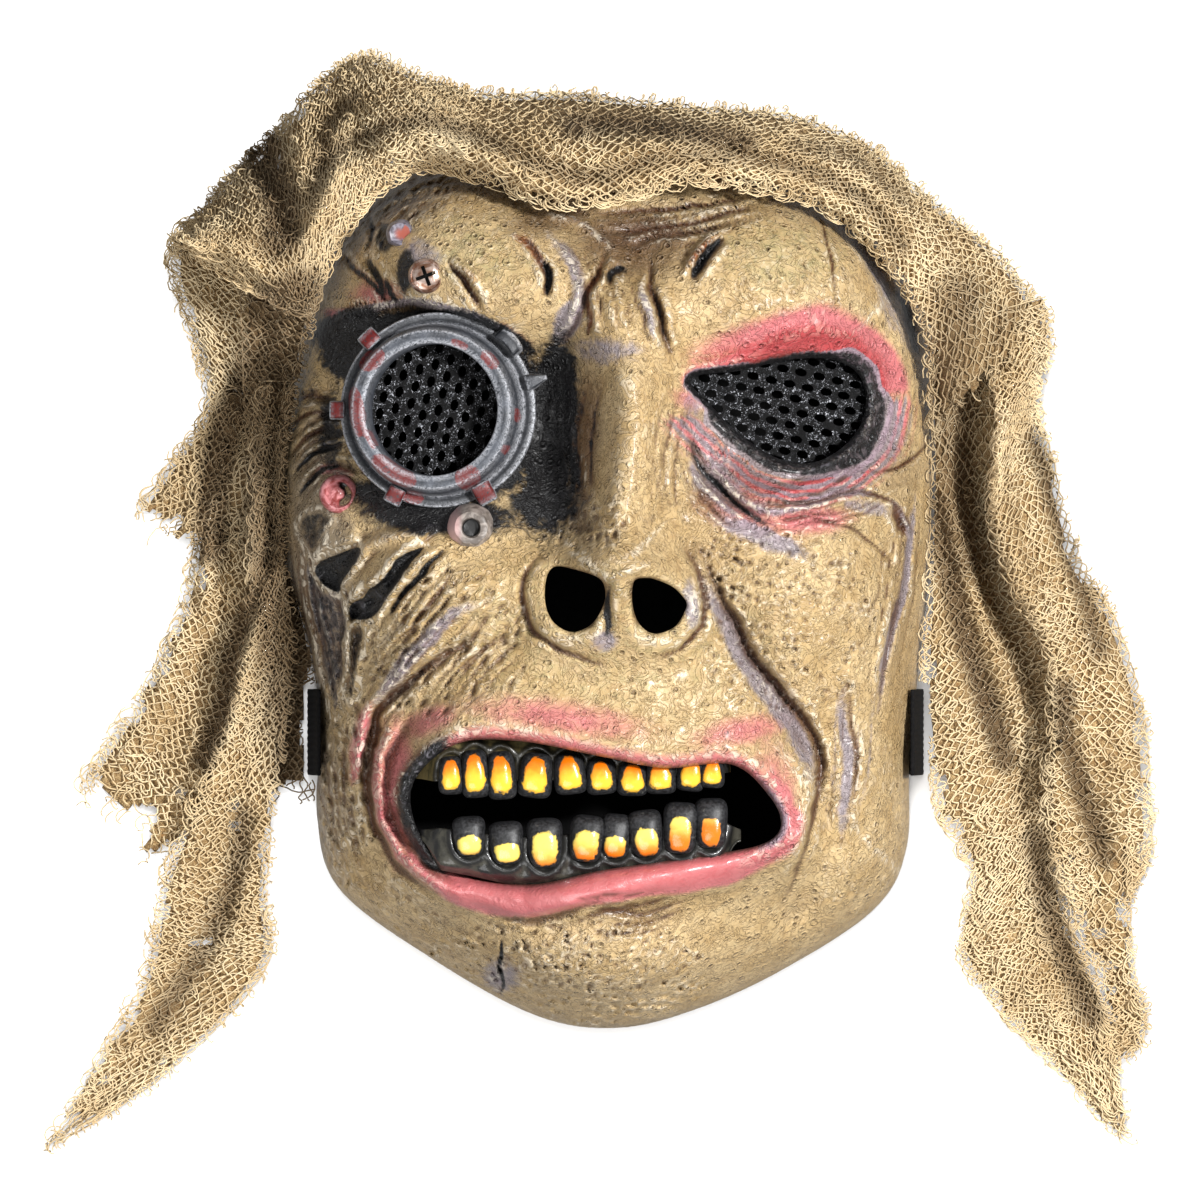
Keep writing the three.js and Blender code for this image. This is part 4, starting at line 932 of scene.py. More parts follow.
class Value:
    """A node's output that builds Math nodes when it is used in an expression."""

    def __init__(self, finish, socket):
        self.finish = finish
        self.socket = socket

    def combined(self, operation, *terms):
        return self.finish.add("ShaderNodeMath", {"operation": operation}, dict(enumerate(terms)))

    def __add__(self, other):
        return self.combined("ADD", self, other)

    def __sub__(self, other):
        return self.combined("SUBTRACT", self, other)

    def __rsub__(self, other):
        return self.combined("SUBTRACT", other, self)

    def __mul__(self, other):
        return self.combined("MULTIPLY", self, other)

    def __abs__(self):
        return self.combined("ABSOLUTE", self)

    __radd__ = __add__
    __rmul__ = __mul__

    def between(self, low, high):
        """0 below low and 1 above high, with a soft change between them."""
        return self.finish.add(
            "ShaderNodeMapRange", {"interpolation_type": "SMOOTHSTEP"},
            {"Value": self, "From Min": low, "From Max": high},
        )


def paint_colour(red, green, blue):
    return (*(((c / 255 + 0.055) / 1.055) ** 2.4 for c in (red, green, blue)), 1)


class Finish:
    """A material whose nodes are added one by one, each from its type, settings and sockets."""

    def __init__(self, name):
        self.material = bpy.data.materials.new(name)
        self.material.use_nodes = True
        self.tree = self.material.node_tree
        self.tree.nodes.clear()
        self.place = self.add("ShaderNodeTexCoord", output="Object")

    def add(self, kind, settings=None, sockets=None, output=0):
        node = self.tree.nodes.new(kind)
        for key, value in (settings or {}).items():
            setattr(node, key, value)
        for key, value in (sockets or {}).items():
            if isinstance(value, Value):
                self.tree.links.new(value.socket, node.inputs[key])
            else:
                node.inputs[key].default_value = value
        return Value(self, node.outputs[output])

    def noise(self, size, detail=3.0, roughness=0.55, distortion=0.0, place=None):
        return self.add(
            "ShaderNodeTexNoise", None,
            {"Vector": place or self.place, "Scale": 1000 / size, "Detail": detail,
             "Roughness": roughness, "Distortion": distortion},
        )

    def mix(self, share, under, over):
        under, over = (c if isinstance(c, Value) else paint_colour(*c) for c in (under, over))
        return self.add("ShaderNodeMix", {"data_type": "RGBA"}, {0: share, 6: under, 7: over}, 2)

    def channels(self, name):
        colour = self.add("ShaderNodeAttribute", {"attribute_name": name}, None, "Color")
        split = self.tree.nodes.new("ShaderNodeSeparateColor")
        self.tree.links.new(colour.socket, split.inputs[0])
        return [Value(self, out) for out in split.outputs]

    def bump(self, height, distance, strength=1.0, under=None):
        sockets = {"Height": height, "Distance": distance * MM, "Strength": strength}
        if under:
            sockets["Normal"] = under
        return self.add("ShaderNodeBump", None, sockets)

    def surface(self, **sockets):
        shader = self.add("ShaderNodeBsdfPrincipled", None, {
            key.replace("_", " ").title().replace("Ior", "IOR"): value for key, value in sockets.items()})
        output = self.tree.nodes.new("ShaderNodeOutputMaterial")
        self.tree.links.new(shader.socket, output.inputs["Surface"])
        return self.material


latex = Finish("painted latex")
red, pink, lavender = latex.channels("paint_a")
black, brown, pale = latex.channels("paint_b")
grey, olive, hollow = latex.channels("paint_c")
rust, lip_gloss, _ = latex.channels("paint_d")
patchy = latex.noise(16, 4)
mottle = latex.noise(5, 4, 0.6, 0.6)
curls_of_skin = latex.noise(4.8, 2, 0.5, 2.4)
crease = abs(curls_of_skin - 0.5).between(0.0, 0.07)
small_curls = latex.noise(2.3, 2, 0.5, 1.8)
small_crease = abs(small_curls - 0.5).between(0.0, 0.07)
grain = latex.noise(0.8, 2)
brush = latex.noise(3.5, 4, 0.65, 0.8)
ragged = 0.7 * (brush - 0.5)
pores = latex.add(
    "ShaderNodeTexVoronoi", {"feature": "F1"},
    {"Vector": latex.place, "Scale": 1000 / 3.6, "Randomness": 1.0}, "Distance",
)
pit = (1 - pores.between(0.08, 0.22)) * patchy.between(0.4, 0.6)
lip_of_pit = pores.between(0.18, 0.28) * (1 - pores.between(0.28, 0.44))
skin_tone = latex.mix(patchy.between(0.35, 0.65), (178, 150, 104), (194, 168, 124))
for share, colour in (
    (mottle.between(0.5, 0.75) * 0.4, (206, 184, 140)),
    ((1 - mottle.between(0.28, 0.48)) * 0.4, (146, 114, 72)),
    # painted shade: darker along the fine creases of the relief
    ((1 - crease) * 0.2, (126, 94, 58)),
    ((1 - small_crease) * 0.1, (126, 94, 58)),
    ((olive + ragged).between(0.25, 0.7), (150, 142, 98)),
    # painted shade: the grey of the left side and of the skin under the hood's hem
    ((grey + ragged).between(0.2, 0.75) * 0.75, (118, 106, 92)),
    # painted shade in the pits of the relief
    (pit * 0.6, (92, 64, 38)),
    ((pink + 0.6 * ragged).between(0.1, 0.75) * 0.9, (190, 100, 108)),
    ((red + ragged).between(0.15, 0.8) * 0.9, (166, 58, 60)),
    ((rust + ragged).between(0.2, 0.8), (140, 74, 32)),
    ((lavender + ragged).between(0.25, 0.7) * 0.85, (138, 130, 140)),
    # painted shade: darker in the hollows, in the pores and under the hood's hem
    (hollow.between(0.1, 0.9) * 0.7, (80, 52, 34)),
    (brown.between(0.1, 0.9) * 0.9, (78, 46, 26)),
    (pale.between(0.1, 0.8) * curls_of_skin.between(0.42, 0.6) * (1 - red) * (1 - lip_gloss) * 0.7,
     (238, 226, 204)),
    ((black + ragged).between(0.15, 0.5), (20, 19, 20)),
    ((black + 0.8 * ragged).between(0.3, 0.6) * curls_of_skin.between(0.55, 0.7)
     * pale.between(0.1, 0.7) * 0.6, (120, 116, 124)),
):
    skin_tone = latex.mix(share, skin_tone, colour)
rough_skin = 1 - 0.85 * lip_gloss
sheen = 0.28 + 0.22 * mottle
relief = latex.bump((crease + 0.6 * curls_of_skin) * rough_skin, 0.42, 0.8)
relief = latex.bump(small_crease * rough_skin, 0.12, 0.7, relief)
relief = latex.bump(grain, 0.06, 0.4, relief)
relief = latex.bump((lip_of_pit * 0.4 - pit) * rough_skin, 0.8, 0.9, relief)
skin_mesh.materials.append(latex.surface(
    base_color=skin_tone, roughness=sheen, normal=relief, coat_weight=0.1 + 0.5 * lip_gloss,
    coat_roughness=0.2,
))
inside_latex = Finish("latex inside")
shade = inside_latex.noise(9, 4)
inside_tone = inside_latex.mix(shade.between(0.35, 0.7), (34, 30, 28), (58, 48, 40))
skin_mesh.materials.append(inside_latex.surface(
    base_color=inside_tone, roughness=0.7, normal=inside_latex.bump(shade, 0.4, 0.5),
))
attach(skin, "root")
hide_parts("face_shell")

# Eyepiece ring: a stepped ring cast with the face and painted as battered steel, with red paint
# left in its chips. Its front leans a little outwards, so the bore sits off the base's middle.
LEAN = -2.0
RING_PROFILE = [
    (19.7, 66.8), (19.7, 78.2), (20.0, 78.7), (20.6, 79.0), (21.8, 78.9), (23.0, 79.0), (23.6, 78.7),
    (24.0, 78.0), (25.0, 74.6), (25.5, 72.0), (25.8, 70.3), (26.3, 69.6), (26.9, 70.0),
    (28.3, 70.2), (28.9, 69.9), (29.2, 69.2), (29.2, 60.0), (29.2, 48.0), (24.0, 48.0), (24.0, 66.8),
]
SHARP = math.radians(38)
CHIPS = [
    ((-67, 71.5), (4.5, 3), 35), ((-71.5, 56), (2.5, 8), 8), ((-60.5, 38.5), (8, 3.5), -32),
    ((-38.5, 36.5), (4, 4), 0), ((-32, 71.5), (2, 3.5), 40), ((-41, 76), (3.5, 1), -24),
    ((-23.5, 55), (1, 2.5), 0), ((-55, 30.5), (3.5, 2), -10), ((-67.5, 48), (1, 3.5), 25),
    ((-27.5, 45), (1, 2.5), -30),
]


def spun(name, profile, middle, steps):
    """A ring or a button turned from a profile of radii and heights, as on a lathe."""
    bm = bmesh.new()
    angles = [math.tau * k / steps for k in range(steps)]
    rows = [[bm.verts.new((middle[0] + r * math.cos(a), middle[1] + r * math.sin(a), z)) for a in angles]
            for r, z in profile]
    if profile[0][0] > 0:
        rows.append(rows[0])
    for one, two in zip(rows, rows[1:]):
        for k in range(steps):
            bm.faces.new((one[k], one[k - 1], two[k - 1], two[k]))
    bmesh.ops.remove_doubles(bm, verts=bm.verts, dist=0.01)
    made = piece_of(name, bm)
    made.data.set_sharp_from_angle(angle=SHARP)
    return made


def reshape(piece, change):
    """Moves every point of a piece by a function of its place in millimetres."""
    piece.data.vertices.foreach_set("co", (change(places(piece)) * MM).ravel())
    piece.data.update()


def mark(piece, name, red, green=0.0, blue=0.0):
    """Stores three values for each point, for the piece's material."""
    values = np.ones((len(piece.data.vertices), 4))
    for channel, value in enumerate((red, green, blue)):
        values[:, channel] = value
    layer = piece.data.attributes.new(name, "FLOAT_COLOR", "POINT")
    layer.data.foreach_set("color", values.ravel())


def cast_with_face(piece, finish):
    piece.data.materials.append(finish)
    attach(piece, "root")


def lean_ring(p):
    bore = np.hypot(p[:, 0] - EYEPIECE[0], p[:, 1] - EYEPIECE[1]) < 25.9
    p[:, 0] += LEAN * ease(p[:, 2], 68.5, 78.5) * bore
    dent = 0.22 * ripple(p[:, 0], p[:, 1], 5, 3.3) + 0.1 * ripple(p[:, 0], p[:, 1], 1.8, 6.1)
    p[:, 2] += dent * (p[:, 2] > 67)
    return p


ring = spun("eyepiece_ring", RING_PROFILE, EYEPIECE, 192)
reshape(ring, lean_ring)
ring_at = places(ring)
chip = np.zeros(len(ring_at))
for centre, radii, turn in CHIPS:
    chip = np.maximum(chip, swelling(ring_at[:, 0], ring_at[:, 1], centre, radii, turn, 8))
out = np.hypot(ring_at[:, 0] - EYEPIECE[0] - LEAN * ease(ring_at[:, 2], 68.5, 78.5),
               ring_at[:, 1] - EYEPIECE[1])
edges_worn = np.zeros(len(ring_at))
for radius, width in ((20.2, 0.5), (23.6, 0.45), (25.8, 0.4), (28.9, 0.5)):
    edges_worn = np.maximum(edges_worn, np.exp(-((out - radius) / width) ** 2))
edges_worn *= ring_at[:, 2] > 68
mark(ring, "wear_and_shade", chip * (ring_at[:, 2] > 69), edges_worn, ease(out, 24.5, 26.5))


def steel_paint(name):
    """Battered steel: dark paint over grey metal, scratches, bright edges and red in the chips."""
    steel = Finish(name)
    chips, edge, dark = steel.channels("wear_and_shade")
    speck = steel.noise(0.8, 4, 0.7)
    cloud = steel.noise(6, 4, 0.6)
    streak = steel.noise(1.6, 5, 0.7, 2.5)
    tone = steel.mix(cloud.between(0.3, 0.7), (30, 33, 39), (66, 70, 78))
    tone = steel.mix(dark * 0.85, tone, (30, 31, 34))
    tone = steel.mix(streak.between(0.6, 0.72) * 0.6, tone, (150, 154, 164))
    tone = steel.mix((1 - speck.between(0.3, 0.42)) * 0.6, tone, (24, 24, 27))
    tone = steel.mix(chips.between(0.35, 0.6) * speck.between(0.36, 0.46), tone, (92, 16, 14))
    tone = steel.mix(edge * streak.between(0.38, 0.58) * 0.8, tone, (196, 198, 204))
    relief = steel.bump(speck, 0.15, 0.6)
    relief = steel.bump(streak, 0.2, 0.4, relief)
    return steel.surface(base_color=tone, roughness=0.34 + 0.25 * cloud, metallic=0.15, normal=relief)


cast_with_face(ring, steel_paint("battered steel"))

# Lugs: six blocks round the eyepiece, cast with the ring. Four are painted red and the two at the
# right are bare: one a wedge and one a bent clip.
WEDGE_AT, CLIP_AT = 17, 44
LUGS = [
    # angle, distance out, length out, width, height, top, red
    (WEDGE_AT, 30.6, 6.6, 5.2, 9, 73.5, 0), (CLIP_AT, 29, 4.2, 9.5, 9, 75.5, 0),
    (134, 29.6, 5, 6, 8, 73.4, 1), (180, 30.2, 4.6, 5.6, 8, 73.2, 1),
    (243, 28.6, 5.4, 5.6, 8, 73.4, 1), (299, 28.4, 6.6, 6.6, 9, 74.6, 1),
]
lug_paint = steel_paint("lug steel")
for number, (angle, away, long, wide, tall, top, is_red) in enumerate(LUGS):
    bpy.ops.object.select_all(action="DESELECT")
    bpy.ops.mesh.primitive_cube_add(size=1)
    lug = bpy.context.object
    lug.name = f"eyepiece_lug_{number}"
    bpy.ops.object.mode_set(mode="EDIT")
    bpy.ops.mesh.select_all(action="SELECT")
    bpy.ops.mesh.bevel(offset=0.12, segments=2, affect="EDGES")
    bpy.ops.mesh.select_all(action="SELECT")
    bpy.ops.mesh.subdivide(number_cuts=2)
    bpy.ops.object.mode_set(mode="OBJECT")

    def seat_lug(p):
        p = p * MM
        pinch = 1 - 0.16 * ease(p[:, 2], -0.2, 0.5)
        if angle == WEDGE_AT:
            pinch *= 1 - 0.7 * ease(p[:, 0], -0.3, 0.5)
        u = p[:, 0] * long + away
        v = p[:, 1] * wide * pinch
        if angle == CLIP_AT:
            u += 0.9 - 0.05 * v ** 2
        z = top - tall / 2 + p[:, 2] * tall - 1.4 * ease(p[:, 0], -0.2, 0.5) * (p[:, 2] > 0)
        x, y = turned(u, v, angle, EYEPIECE)
        z += 0.2 * ripple(x, y, 2.5, number)
        return np.stack([x, y, z], axis=1)

    reshape(lug, seat_lug)
    at = places(lug)
    out = np.hypot(at[:, 0] - EYEPIECE[0], at[:, 1] - EYEPIECE[1]) - away
    border = np.maximum(ease(np.abs(out), long * 0.33, long * 0.46), at[:, 2] < top - 2.2)
    mark(lug, "wear_and_shade", is_red * (1 - 0.8 * border), 0.9 * border, 0.75 - 0.5 * is_red)
    bpy.ops.object.shade_smooth_by_angle(angle=math.radians(40))
    cast_with_face(lug, lug_paint)

# Bolts in the flesh round the eyepiece: a cross-head screw, a peg, a pink washer and a blunt cone.
# They're cast with the face and stand where its solid has them.
SCREW = ((-51, 96.6), 5.2)
PEG = ((-58.8, 109.5), 3.8)
WASHER = ((-77.4, 31.8), 5.8)
CONE = ((-37.5, 21.5), 6.4)


def skin_level(x, y):
    """The height of the finished skin at one place."""
    return front_points[front_tree.find((x, y, 0))[1]][2]


def bolt(name, place, profile, wobble):
    base = skin_level(*place)
    made = spun(name, [(r, base + z) for r, z in profile], place, 48)
    reshape(made, lambda p: p + wobble * np.stack(
        [ripple(p[:, 0], p[:, 1], 2.5, seed) for seed in (5, 7, 9)], axis=1))
    return made


def painted_bolt(piece, size, colours, marks, **more):
    """Casts a bolt with the face: a cloudy colour, and colours over it where it is marked."""
    finish = Finish(piece.name)
    cloud = finish.noise(size, 4, 0.6, 0.8)
    tone = finish.mix(cloud.between(0.35, 0.65), *colours)
    mark(piece, "wear_and_shade", *(amount for amount, _ in marks))
    for amount, (_, colour) in zip(finish.channels("wear_and_shade"), marks):
        tone = finish.mix(amount.between(0.1, 0.8), tone, colour)
    cast_with_face(piece, finish.surface(base_color=tone, normal=finish.bump(cloud, 0.25, 0.55), **more))


def from_middle(piece, place):
    at = places(piece)
    return at[:, 0] - place[0], at[:, 1] - place[1], at[:, 2]


screw = bolt("screw_head", SCREW[0], [
    (0, -3), (4.6, -3), (5.2, -1), (5.3, 1.2), (5.0, 2.3), (4.5, 2.7), (4.2, 2.3), (3.9, 2.5), (2.4,
     2.9),
    (0, 3.0),
], 0)
top = skin_level(*SCREW[0]) + 3
SLOT_SIZE = (6.2, 1.1, 3.4)
for turn in (20, 110):
    bpy.ops.mesh.primitive_cube_add(size=1)
    blade = bpy.context.object
    size = np.array(SLOT_SIZE) * MM
    reshape(blade, lambda p: np.stack([
        *turned(p[:, 0] * size[0], p[:, 1] * size[1], turn, SCREW[0]), top + p[:, 2] * size[2]], axis=1))
    slot = screw.modifiers.new("slot", "BOOLEAN")
    slot.object = blade
    bpy.context.view_layer.objects.active = screw
    bpy.ops.object.modifier_apply(modifier="slot")
    bpy.data.objects.remove(blade)
screw.data.set_sharp_from_angle(angle=SHARP)
dx, dy, z = from_middle(screw, SCREW[0])
# the screw's cross slot is painted near black, as painted shade in it
painted_bolt(screw, 3, ((122, 86, 66), (196, 178, 168)),
             [((np.hypot(dx, dy) < 4.3) & (z < top - 1), (10, 9, 9))], roughness=0.28, metallic=0.7)
peg = bolt("peg", PEG[0], [
    (0, -3), (4.4, -3), (4.1, 0), (3.6, 2.2), (3.2, 2.9), (2.6, 2.7), (0, 2.4),
], 0.35)
dx, dy, z = from_middle(peg, PEG[0])
painted_bolt(peg, 2, ((70, 66, 74), (128, 122, 134)), [(np.hypot(dx - 0.6, dy) < 2.3, (142, 70, 56))],
             roughness=0.4)
washer = bolt("washer", WASHER[0], [
    (0, -3), (5.6, -3), (5.9, 0.4), (5.7, 2.2), (5.0, 3.2), (4.2, 3.5), (3.7, 3.0), (3.4, 2.2), (2.8,
     2.4),
    (2.2, 3.0), (1.2, 3.1), (0, 3.0),
], 0)
dx, dy, z = from_middle(washer, WASHER[0])
crescent = np.exp(-((np.hypot(dx, dy) - 2.7) / 1.0) ** 4) * ease(dx, -0.6, 1.0)
reshape(washer, lambda p: p - np.stack([0 * dx, 0 * dx, 2.2 * crescent], axis=1))
painted_bolt(washer, 2.2, ((128, 54, 52), (190, 124, 126)), [(crescent, (18, 14, 14))],
             roughness=0.3, coat_weight=0.3)
cone = bolt("cone", CONE[0], [
    (0, -4), (7.4, -4), (7.0, 0), (5.6, 4.2), (4.9, 5.6), (4.0, 6.0), (3.0, 5.8), (2.5, 5.0), (2.2, 3.4),
    (0, 3.2),
], 0.35)
dx, dy, z = from_middle(cone, CONE[0])
painted_bolt(cone, 2.6, ((92, 84, 78), (150, 140, 132)), [
    (0.6 * ease(-dx, 1, 5), (196, 158, 156)), (1 - ease(np.hypot(dx, dy), 2.0, 3.4), (12, 11, 11)),
], roughness=0.5)

# Gums and teeth: cast with the face behind the lips. The teeth are black blocks with a pool of
# orange or yellow enamel brushed on each, and the gums are olive and grey.
UPPER_TEETH = [
    (-43.5, -52.3, 6, 10.5), (-36.3, -51.8, 7, 13.5), (-28.5, -52.3, 7.2, 13.5),
    (-18.3, -52.3, 8.6, 12.6), (-8.1, -51.8, 8, 11.5), (1.2, -52.6, 7.6, 10),
    (10.6, -53.2, 7.6, 9.6), (19, -52.6, 7.6, 9.6), (28, -51.8, 6.8, 9.6), (34.4, -51.4, 5.8, 8.4),
]
LOWER_TEETH = [
    (-38.1, -70.5, 8, 11), (-27, -72.5, 8.6, 12), (-15.6, -72.5, 9, 14), (-3, -71.2, 8.8, 13),
    (5.6, -70.5, 7.6, 12.4), (14.6, -69.6, 8.6, 13), (24.9, -68, 8.8, 14.4), (34, -66.6, 8.2, 14),
]
# enamel: offset up, half width and half height of the pool as shares, and how orange it is
UPPER_ENAMEL = [(0.05, 0.80, 0.80)] * 10
LOWER_ENAMEL = [
    (-0.42, 0.82, 0.50), (-0.45, 0.80, 0.46), (-0.22, 0.78, 0.68), (-0.28, 0.76, 0.66),
    (-0.45, 0.76, 0.50), (-0.34, 0.74, 0.60), (-0.24, 0.66, 0.70), (-0.34, 0.62, 0.58),
]
LOWER_ORANGE = [0.0, 0.0, 0.25, 0.45, 0.55, 0.4, 0.6, 1.0]
TEETH_FRONT = 79
TEETH_DEPTH = 14
bpy.ops.mesh.primitive_cube_add(size=2)
tooth = bpy.context.object
bpy.ops.object.mode_set(mode="EDIT")
bpy.ops.mesh.select_all(action="SELECT")
bpy.ops.mesh.subdivide(number_cuts=11)
bpy.ops.object.mode_set(mode="OBJECT")
block = places(tooth) * MM
block /= (np.abs(block) ** 4).sum(axis=1, keepdims=True) ** 0.25
block_faces = [tuple(f.vertices) for f in tooth.data.polygons]
bpy.data.objects.remove(tooth)
chance = random.Random(5)


def tooth_row(name, row, enamel, oranges, front):
    """One row of teeth as one casting: copies of the block, each with its own size and lean."""
    points, faces, marks = [], [], []
    for (x, y, w, h), (rise, half_w, half_h), orange in zip(row, enamel, oranges):
        lean = chance.uniform(-7, 7)
        taper = 1 - 0.10 * block[:, 1] * (1 if front > 78.5 else -1)
        u = block[:, 0] * (w + 1.6) / 2 * taper
        v = block[:, 1] * (h + 1.0) / 2
        px, py = turned(u, v, lean, (x, y))
        pz = front - TEETH_DEPTH / 2 + block[:, 2] * TEETH_DEPTH / 2 + chance.uniform(-0.9, 0.6)
        pz -= 0.9 * (block[:, 0] ** 2 + 0.6 * block[:, 1] ** 2) * (block[:, 2] > 0)
        pointed = half_w * (1 - 0.22 * (block[:, 1] + 0.6)) if front > 78.5 else half_w
        pool = (np.abs(block[:, 0] / pointed) ** 3 + np.abs((block[:, 1] - rise) / half_h) ** 2.6) ** 0.36
        pz += 0.35 * (1 - ease(pool, 0.8, 1.08)) * (block[:, 2] > 0)
        pz += 0.25 * ripple(px, py, 2.2, x)
        down = np.clip((rise + half_h - block[:, 1]) / (2 * half_h), 0, 1)
        faces += [tuple(i + len(points) for i in f) for f in block_faces]
        points += list(zip(px, py, pz))
        marks.append(np.stack([np.where(block[:, 2] > 0, pool / 2, 1), down,
                               np.full(len(block), orange)], axis=1))
    made = piece_of(name, (points, faces))
    mark(made, "enamel", *np.vstack(marks).T)
    return made


def tooth_paint(name, upper):
    teeth = Finish(name)
    pool, down, orange = teeth.channels("enamel")
    wobble = teeth.noise(2.4, 3, 0.5, 0.6)
    fine = teeth.noise(0.8, 3, 0.6)
    in_pool = 1 - (pool * 2 + (wobble - 0.5) * 0.5).between(0.93, 1.0)
    rim = (pool * 2 + (wobble - 0.5) * 0.5).between(0.84, 0.93)
    bed = teeth.mix(fine.between(0.35, 0.65), (14, 14, 15), (46, 46, 48))
    bed = teeth.mix(wobble.between(0.62, 0.74) * 0.4, bed, (110, 108, 102))
    if upper:
        glaze = teeth.mix((down + (wobble - 0.5) * 0.3).between(0.15, 0.7),
                          (232, 108, 8), (240, 184, 52))
    else:
        glaze = teeth.mix((down + orange - 0.75 + (wobble - 0.5) * 0.3).between(-0.1, 0.6),
                          (226, 208, 100), (232, 112, 18))
    glaze = teeth.mix(rim * 0.5, glaze, (150, 112, 40))
    tone = teeth.mix(in_pool, bed, glaze)
    return teeth.surface(base_color=tone, roughness=0.5 - 0.28 * in_pool, coat_weight=0.35 * in_pool,
                         normal=teeth.bump(fine, 0.15, 0.5))


upper_teeth = tooth_row("upper_teeth", UPPER_TEETH, UPPER_ENAMEL, [0] * 10, TEETH_FRONT)
cast_with_face(upper_teeth, tooth_paint("upper enamel", True))
lower_teeth = tooth_row("lower_teeth", LOWER_TEETH, LOWER_ENAMEL, LOWER_ORANGE, TEETH_FRONT - 1)
cast_with_face(lower_teeth, tooth_paint("lower enamel", False))


def grid_quads(rows, columns):
    index = np.arange(rows * columns).reshape(rows, columns)
    corners = (index[:-1, :-1], index[1:, :-1], index[1:, 1:], index[:-1, 1:])
    return np.stack(corners, axis=-1).reshape(-1, 4)


def closed_sheet(top, under, quads):
    """The points and faces of a thin closed sheet: its top, its underside and its edges all round."""
    sides = [(q[k], q[(k + 1) % 4]) for q in quads.tolist() for k in range(4)]
    paired = {(b, a) for a, b in sides}
    n = len(top)
    faces = [tuple(q) for q in quads.tolist()] + [tuple(k + n for k in q[::-1]) for q in quads.tolist()]
    faces += [(b, a, a + n, b + n) for a, b in sides if (a, b) not in paired]
    return np.vstack([top, under]), faces


GUM_ROWS, GUM_COLUMNS = 20, 90


def gum_strip(name, first, teeth, last, towards):
    """A pad from behind a row of teeth to under its lip, with a collar round each root."""
    row = np.array([first, *teeth, last])
    x, t = (g.ravel() for g in np.meshgrid(
        np.linspace(row[0, 0], row[-1, 0], GUM_COLUMNS), np.linspace(0, 1, GUM_ROWS)))
    share = (x - row[0, 0]) / (row[-1, 0] - row[0, 0])
    end = ease(share, 0, 0.07) * ease(1 - share, 0, 0.07)
    half = np.interp(x, row[:, 0], row[:, 3]) / 2
    y = np.interp(x, row[:, 0], row[:, 1]) + towards * (t - 0.12) * (half + 8) * (0.3 + 0.7 * end)
    collar = np.zeros(x.shape)
    for x0, y0, w, h in teeth:
        q = np.hypot((x - x0) / (w / 2 + 1.2), (y - y0) / (h / 2 + 1.3))
        collar = np.maximum(collar, np.exp(-((q - 1.12) / 0.22) ** 2))
    z = 71.5 + 2.6 * collar - 5 * ease(t, 0.82, 1.0) - 7 * (1 - end) + 0.5 * ripple(x, y, 3, 4.4)
    quads = grid_quads(GUM_ROWS, GUM_COLUMNS)[:, ::-1 if towards > 0 else 1]
    made = piece_of(name, closed_sheet(
        np.stack([x, y, z], axis=1), np.stack([x, y, 0 * x + 63.5], axis=1), quads))
    mark(made, "gum", np.concatenate([collar, collar]))
    return made


def gum_paint(name, wash, tint):
    gums = Finish(name)
    collar = gums.channels("gum")[0]
    cloud = gums.noise(4, 4, 0.6, 0.6)
    fine = gums.noise(0.9, 3, 0.6)
    tone = gums.mix(cloud.between(0.35, 0.62), wash, tint)
    tone = gums.mix(collar.between(0.25, 0.75) * 0.85, tone, (20, 20, 20))
    tone = gums.mix((1 - fine.between(0.3, 0.42)) * 0.5, tone, (30, 26, 22))
    relief = gums.bump(fine, 0.2, 0.6)
    return gums.surface(base_color=tone, roughness=0.34, coat_weight=0.2, normal=relief)


upper_gum = gum_strip("upper_gum", (-54, -53, 6, 9), UPPER_TEETH, (40, -51, 6, 8), 1)
cast_with_face(upper_gum, gum_paint("upper gum", (70, 66, 44), (120, 106, 70)))
lower_gum = gum_strip("lower_gum", (-53, -69, 6, 8), LOWER_TEETH, (43, -69, 6, 8), -1)
cast_with_face(lower_gum, gum_paint("lower gum", (24, 24, 24), (62, 60, 52)))

# Nets: black knitted net with a staggered pattern of holes, glued behind the eyepiece and behind
# the lids of the bare eye.


def punched_net(name, contains, middle, pitch, hole, turn, level):
    """A sheet with a staggered pattern of rounded holes, each in its own brick of the sheet."""
    bm = bmesh.new()
    for j in range(-16, 17):
        for i in range(-16, 17):
            cu, cv = (i + 0.5 * (j % 2)) * pitch[0], j * pitch[1]
            if not contains(*turned(np.array([cu]), cv, turn, middle))[0]:
                continue
            made = []
            shift = 0.16 * noise.noise((cu, cv, 0.5))
            for k in range(8):
                a = k * math.pi / 4
                bu, bv = np.sign(round(math.cos(a), 3)), np.sign(round(math.sin(a), 3))
                outer = (cu + bu * pitch[0] / 2, cv + bv * pitch[1] / 2)
                inner = (cu + (math.cos(a) + shift) * hole[0] / 2,
                         cv + (math.sin(a) - shift) * hole[1] / 2)
                made.append([bm.verts.new((*turned(u, v, turn, middle), 0)) for u, v in (outer, inner)])
            for k in range(8):
                (a, b), (c, d) = made[k], made[(k + 1) % 8]
                bm.faces.new((a, c, d, b))
    bmesh.ops.remove_doubles(bm, verts=bm.verts, dist=0.02)
    made = piece_of(name, bm)
    bpy.context.view_layer.objects.active = made
    rounding = made.modifiers.new("rounding", "SUBSURF")
    rounding.levels = rounding.render_levels = 2
    thickness = made.modifiers.new("thickness", "SOLIDIFY")
    thickness.thickness = 0.6 * MM
    thickness.offset = 0
    bpy.ops.object.modifier_apply(modifier="rounding")
    bpy.ops.object.modifier_apply(modifier="thickness")

    def lie(p):
        x, y = p[:, 0], p[:, 1]
        z = level(x, y) + p[:, 2] + 0.12 * ripple(x, y, 1.3, 3) + 0.1 * ripple(x, y, 6, 5)
        return np.stack([x, y, z], axis=1)

    reshape(made, lie)
    return made


